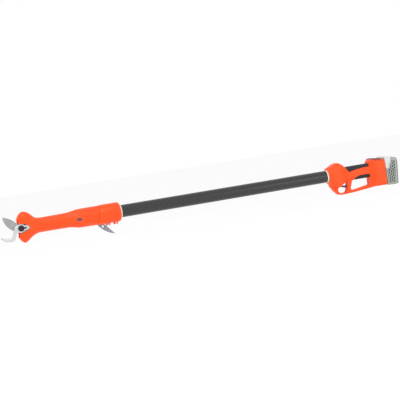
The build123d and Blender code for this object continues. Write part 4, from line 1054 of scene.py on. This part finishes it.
def make_battery(settings):
    """Battery housing with real sunk vents on both sides, its pale cover, rear cap and latch."""
    case = eased_copy("battery_case", "battery_housing", 0.6 * MM, whole_faces=False)
    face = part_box("battery_case")[1][1]
    margin = 0.3 * MM
    outline = np.concatenate([VENT_FRONT[:, ::-1], VENT_REAR[::-1, ::-1]])
    outline = np.clip(outline, (-1.0, VENT_BOTTOM + margin), (1.0, VENT_TOP - margin))
    cuts = []
    for side in (-1, 1):
        near, far = sorted((side * (face - PANEL_BACK + 0.2 * MM), side * (face + 2 * MM)))
        cuts.append(("DIFFERENCE", plate("vent_seat", outline, near, far)))
    mesh = combined("battery_housing", case, cuts)
    link_piece("battery_housing", mesh, finish_of("battery_grey"), "battery", ("battery_case",))
    for word, side in (("left", -1), ("right", 1)):
        mesh = vent_panel(f"vent_panel_{word}", side, settings)
        link_piece(f"vent_panel_{word}", mesh, finish_of("battery_grey"), "battery")
    for node, name, slot in (
        ("battery_cover", "battery_shield", "battery_light"),
        ("battery_rear_cap", "battery_end", "black_plastic"),
        ("battery_latch", "latch_button", "black_plastic"),
    ):
        mesh = eased_copy(node, name, 0.5 * MM)
        link_piece(name, mesh, finish_of(slot), BODY_OF[node], (node,))


def finish_frame_nodes():
    """Give every CAD node that stays its slot's finish."""
    for node, thing in frame["nodes"].items():
        material = finish_of(SLOT_OF[node])
        for holder in thing.material_slots:
            holder.material = material


# ---------------------------------------------------------------- stage
CAMERA_PLACE = (-1.5617, -3.6085, 0.2453)
CAMERA_YAW, CAMERA_TILT, CAMERA_ROLL = 15.035, -3.863, 8.564
FLOOR_DROP = 0.35
FLOOR_REACH = 14.0


def studio_white(name, brightness):
    """Matt white paint with the faintest unevenness."""
    finish = Finish(name, specular=0.1)
    cloud = finish.noise(3.0)
    finish.colour(finish.tones(cloud, [(0.3, (brightness,) * 3), (0.7, (min(1.0, brightness * 1.02),) * 3)]))
    finish.roughness(finish.spread(cloud, 0.85, 0.95))
    return finish.material


def add_light(name, place, target, size, power):
    """Square soft light that faces a target."""
    data = bpy.data.lights.new(name, "AREA")
    data.shape = "SQUARE"
    data.size = size
    data.energy = power
    lamp = bpy.data.objects.new(name, data)
    lamp.matrix_world = Matrix.Translation(place) @ (
        (Vector(target) - Vector(place)).to_track_quat("-Z", "Y").to_matrix().to_4x4()
    )
    bpy.context.collection.objects.link(lamp)


def add_camera(lens):
    """Camera from its yaw, tilt and roll: the right and up directions are turned about the line of sight."""
    yaw, tilt, roll = (math.radians(angle) for angle in (CAMERA_YAW, CAMERA_TILT, CAMERA_ROLL))
    forward = Vector((math.sin(yaw) * math.cos(tilt), math.cos(yaw) * math.cos(tilt), math.sin(tilt)))
    level = Vector((math.cos(yaw), -math.sin(yaw), 0.0))
    upright = level.cross(forward)
    right = level * math.cos(roll) - upright * math.sin(roll)
    up = level * math.sin(roll) + upright * math.cos(roll)
    turn = Matrix((right, up, -forward)).transposed().to_4x4()
    data = bpy.data.cameras.new("camera")
    data.lens = lens
    data.sensor_width = 36.0
    data.clip_end = 100.0
    camera = bpy.data.objects.new("camera", data)
    camera.matrix_world = Matrix.Translation(CAMERA_PLACE) @ turn
    bpy.context.collection.objects.link(camera)
    bpy.context.scene.camera = camera


def make_stage(settings):
    """Pale floor, even white sky, two soft lights and the camera."""
    low, high = (np.array(corner) for corner in cad_box)
    middle = (low + high) / 2
    if settings.with_floor:
        u, v = np.meshgrid(np.linspace(-1, 1, 9), np.linspace(-1, 1, 9), indexing="ij")
        level = np.full(u.shape, low[2] - FLOOR_DROP)
        floor = np.stack([middle[0] + FLOOR_REACH * u, FLOOR_REACH * v, level], -1)
        mesh = bpy.data.meshes.new("floor")
        index = np.arange(u.size).reshape(u.shape)
        cells = np.stack([index[:-1, :-1], index[1:, :-1], index[1:, 1:], index[:-1, 1:]], -1).reshape(-1, 4)
        mesh.from_pydata(floor.reshape(-1, 3).tolist(), [], cells.tolist())
        mesh.materials.append(studio_white("studio_floor", 0.95))
        ground = bpy.data.objects.new("floor", mesh)
        bpy.context.collection.objects.link(ground)
    world = bpy.data.worlds.new("sky")
    bpy.context.scene.world = world
    world.use_nodes = True
    tree = world.node_tree
    tree.nodes.clear()
    output = tree.nodes.new("ShaderNodeOutputWorld")
    sky = tree.nodes.new("ShaderNodeBackground")
    sky.inputs["Color"].default_value = (1.0, 1.0, 1.0, 1.0)
    sky.inputs["Strength"].default_value = settings.sky
    tree.links.new(sky.outputs["Background"], output.inputs["Surface"])
    target = tuple(middle)
    add_light("key", (middle[0] - 1.2, -1.8, 2.4), target, 1.6, settings.key_power)
    add_light("fill", (middle[0] + 1.6, -2.2, 0.6), target, 1.6, settings.key_power * 0.35)
    bpy.context.scene.view_settings.view_transform = "Standard"
    add_camera(settings.lens)


# ---------------------------------------------------------------- operators
class PRUNER_OT_head(bpy.types.Operator):
    """Mould the two halves of the head"""

    bl_idname = "pruner.head"
    bl_label = "Head"

    def execute(self, context):
        make_head(context.scene.pruner_shell)
        make_recess_insert()
        return {"FINISHED"}


class PRUNER_OT_handle(bpy.types.Operator):
    """Mould the rear handle, the pole's collar and the holder's ribs"""

    bl_idname = "pruner.handle"
    bl_label = "Rear handle"

    def execute(self, context):
        make_handle(context.scene.pruner_shell)
        make_holder_ribs()
        return {"FINISHED"}


class PRUNER_OT_cutting_blade(bpy.types.Operator):
    """Grind the cutting blade and its eye"""

    bl_idname = "pruner.cutting_blade"
    bl_label = "Cutting blade"

    def execute(self, context):
        make_cutting_blade()
        return {"FINISHED"}


class PRUNER_OT_hook_blade(bpy.types.Operator):
    """Make the hooked counter blade and its strap"""

    bl_idname = "pruner.hook_blade"
    bl_label = "Hook blade"

    def execute(self, context):
        make_hook_blade()
        return {"FINISHED"}


class PRUNER_OT_pivot_nut(bpy.types.Operator):
    """Cut the scalloped pivot nut"""

    bl_idname = "pruner.pivot_nut"
    bl_label = "Pivot nut"

    def execute(self, context):
        make_pivot_nut()
        return {"FINISHED"}


class PRUNER_OT_pole(bpy.types.Operator):
    """Roll the carbon tube and turn its end rings"""

    bl_idname = "pruner.pole"
    bl_label = "Pole"

    def execute(self, context):
        make_pole(context.scene.pruner_pole)
        return {"FINISHED"}


class PRUNER_OT_branch_hook(bpy.types.Operator):
    """Ease the branch hook's edges"""

    bl_idname = "pruner.branch_hook"
    bl_label = "Branch hook"

    def execute(self, context):
        make_branch_hook()
        return {"FINISHED"}


class PRUNER_OT_grips(bpy.types.Operator):
    """Mould the rubber pads and the trigger"""

    bl_idname = "pruner.grips"
    bl_label = "Grips"

    def execute(self, context):
        make_grips()
        make_trigger()
        return {"FINISHED"}


class PRUNER_OT_battery(bpy.types.Operator):
    """Build the battery's housing, vents, cover, cap and latch"""

    bl_idname = "pruner.battery"
    bl_label = "Battery"

    def execute(self, context):
        make_battery(context.scene.pruner_battery)
        return {"FINISHED"}


class PRUNER_OT_frame_finishes(bpy.types.Operator):
    """Finish every other part of the measured frame"""

    bl_idname = "pruner.frame_finishes"
    bl_label = "Inner parts"

    def execute(self, context):
        finish_frame_nodes()
        return {"FINISHED"}


class PRUNER_OT_stage(bpy.types.Operator):
    """Set up the floor, the light and the camera"""

    bl_idname = "pruner.stage"
    bl_label = "Studio"

    def execute(self, context):
        make_stage(context.scene.pruner_stage)
        return {"FINISHED"}


OPERATORS = (
    PRUNER_OT_head,
    PRUNER_OT_handle,
    PRUNER_OT_cutting_blade,
    PRUNER_OT_hook_blade,
    PRUNER_OT_pivot_nut,
    PRUNER_OT_pole,
    PRUNER_OT_branch_hook,
    PRUNER_OT_grips,
    PRUNER_OT_battery,
    PRUNER_OT_frame_finishes,
    PRUNER_OT_stage,
)
SETTINGS = {
    "pruner_shell": PrunerShellSettings,
    "pruner_pole": PrunerPoleSettings,
    "pruner_battery": PrunerBatterySettings,
    "pruner_stage": PrunerStageSettings,
}


class PRUNER_PT_panel(bpy.types.Panel):
    """Lists the pruner's settings and the operators that build it."""

    bl_idname = "PRUNER_PT_panel"
    bl_label = "Cordless Pole Pruner"
    bl_space_type = "VIEW_3D"
    bl_region_type = "UI"
    bl_category = "Pruner"

    def draw(self, context):
        for name, group in SETTINGS.items():
            box = self.layout.box()
            for setting in group.__annotations__:
                box.prop(getattr(context.scene, name), setting)
        for operator in OPERATORS:
            self.layout.operator(operator.bl_idname)


def register():
    """Register the settings, the operators and the panel."""
    for name, group in SETTINGS.items():
        bpy.utils.register_class(group)
        setattr(bpy.types.Scene, name, PointerProperty(type=group))
    for thing in (*OPERATORS, PRUNER_PT_panel):
        bpy.utils.register_class(thing)


def unregister():
    """Take everything off again, in the opposite order."""
    for thing in (PRUNER_PT_panel, *reversed(OPERATORS)):
        bpy.utils.unregister_class(thing)
    for name, group in reversed(SETTINGS.items()):
        delattr(bpy.types.Scene, name)
        bpy.utils.unregister_class(group)


def main():
    """Build every piece in order."""
    register()
    bpy.ops.pruner.head()
    bpy.ops.pruner.handle()
    bpy.ops.pruner.cutting_blade()
    bpy.ops.pruner.hook_blade()
    bpy.ops.pruner.pivot_nut()
    bpy.ops.pruner.pole()
    bpy.ops.pruner.branch_hook()
    bpy.ops.pruner.grips()
    bpy.ops.pruner.battery()
    bpy.ops.pruner.frame_finishes()
    bpy.ops.pruner.stage()


if __name__ == "__main__":
    main()
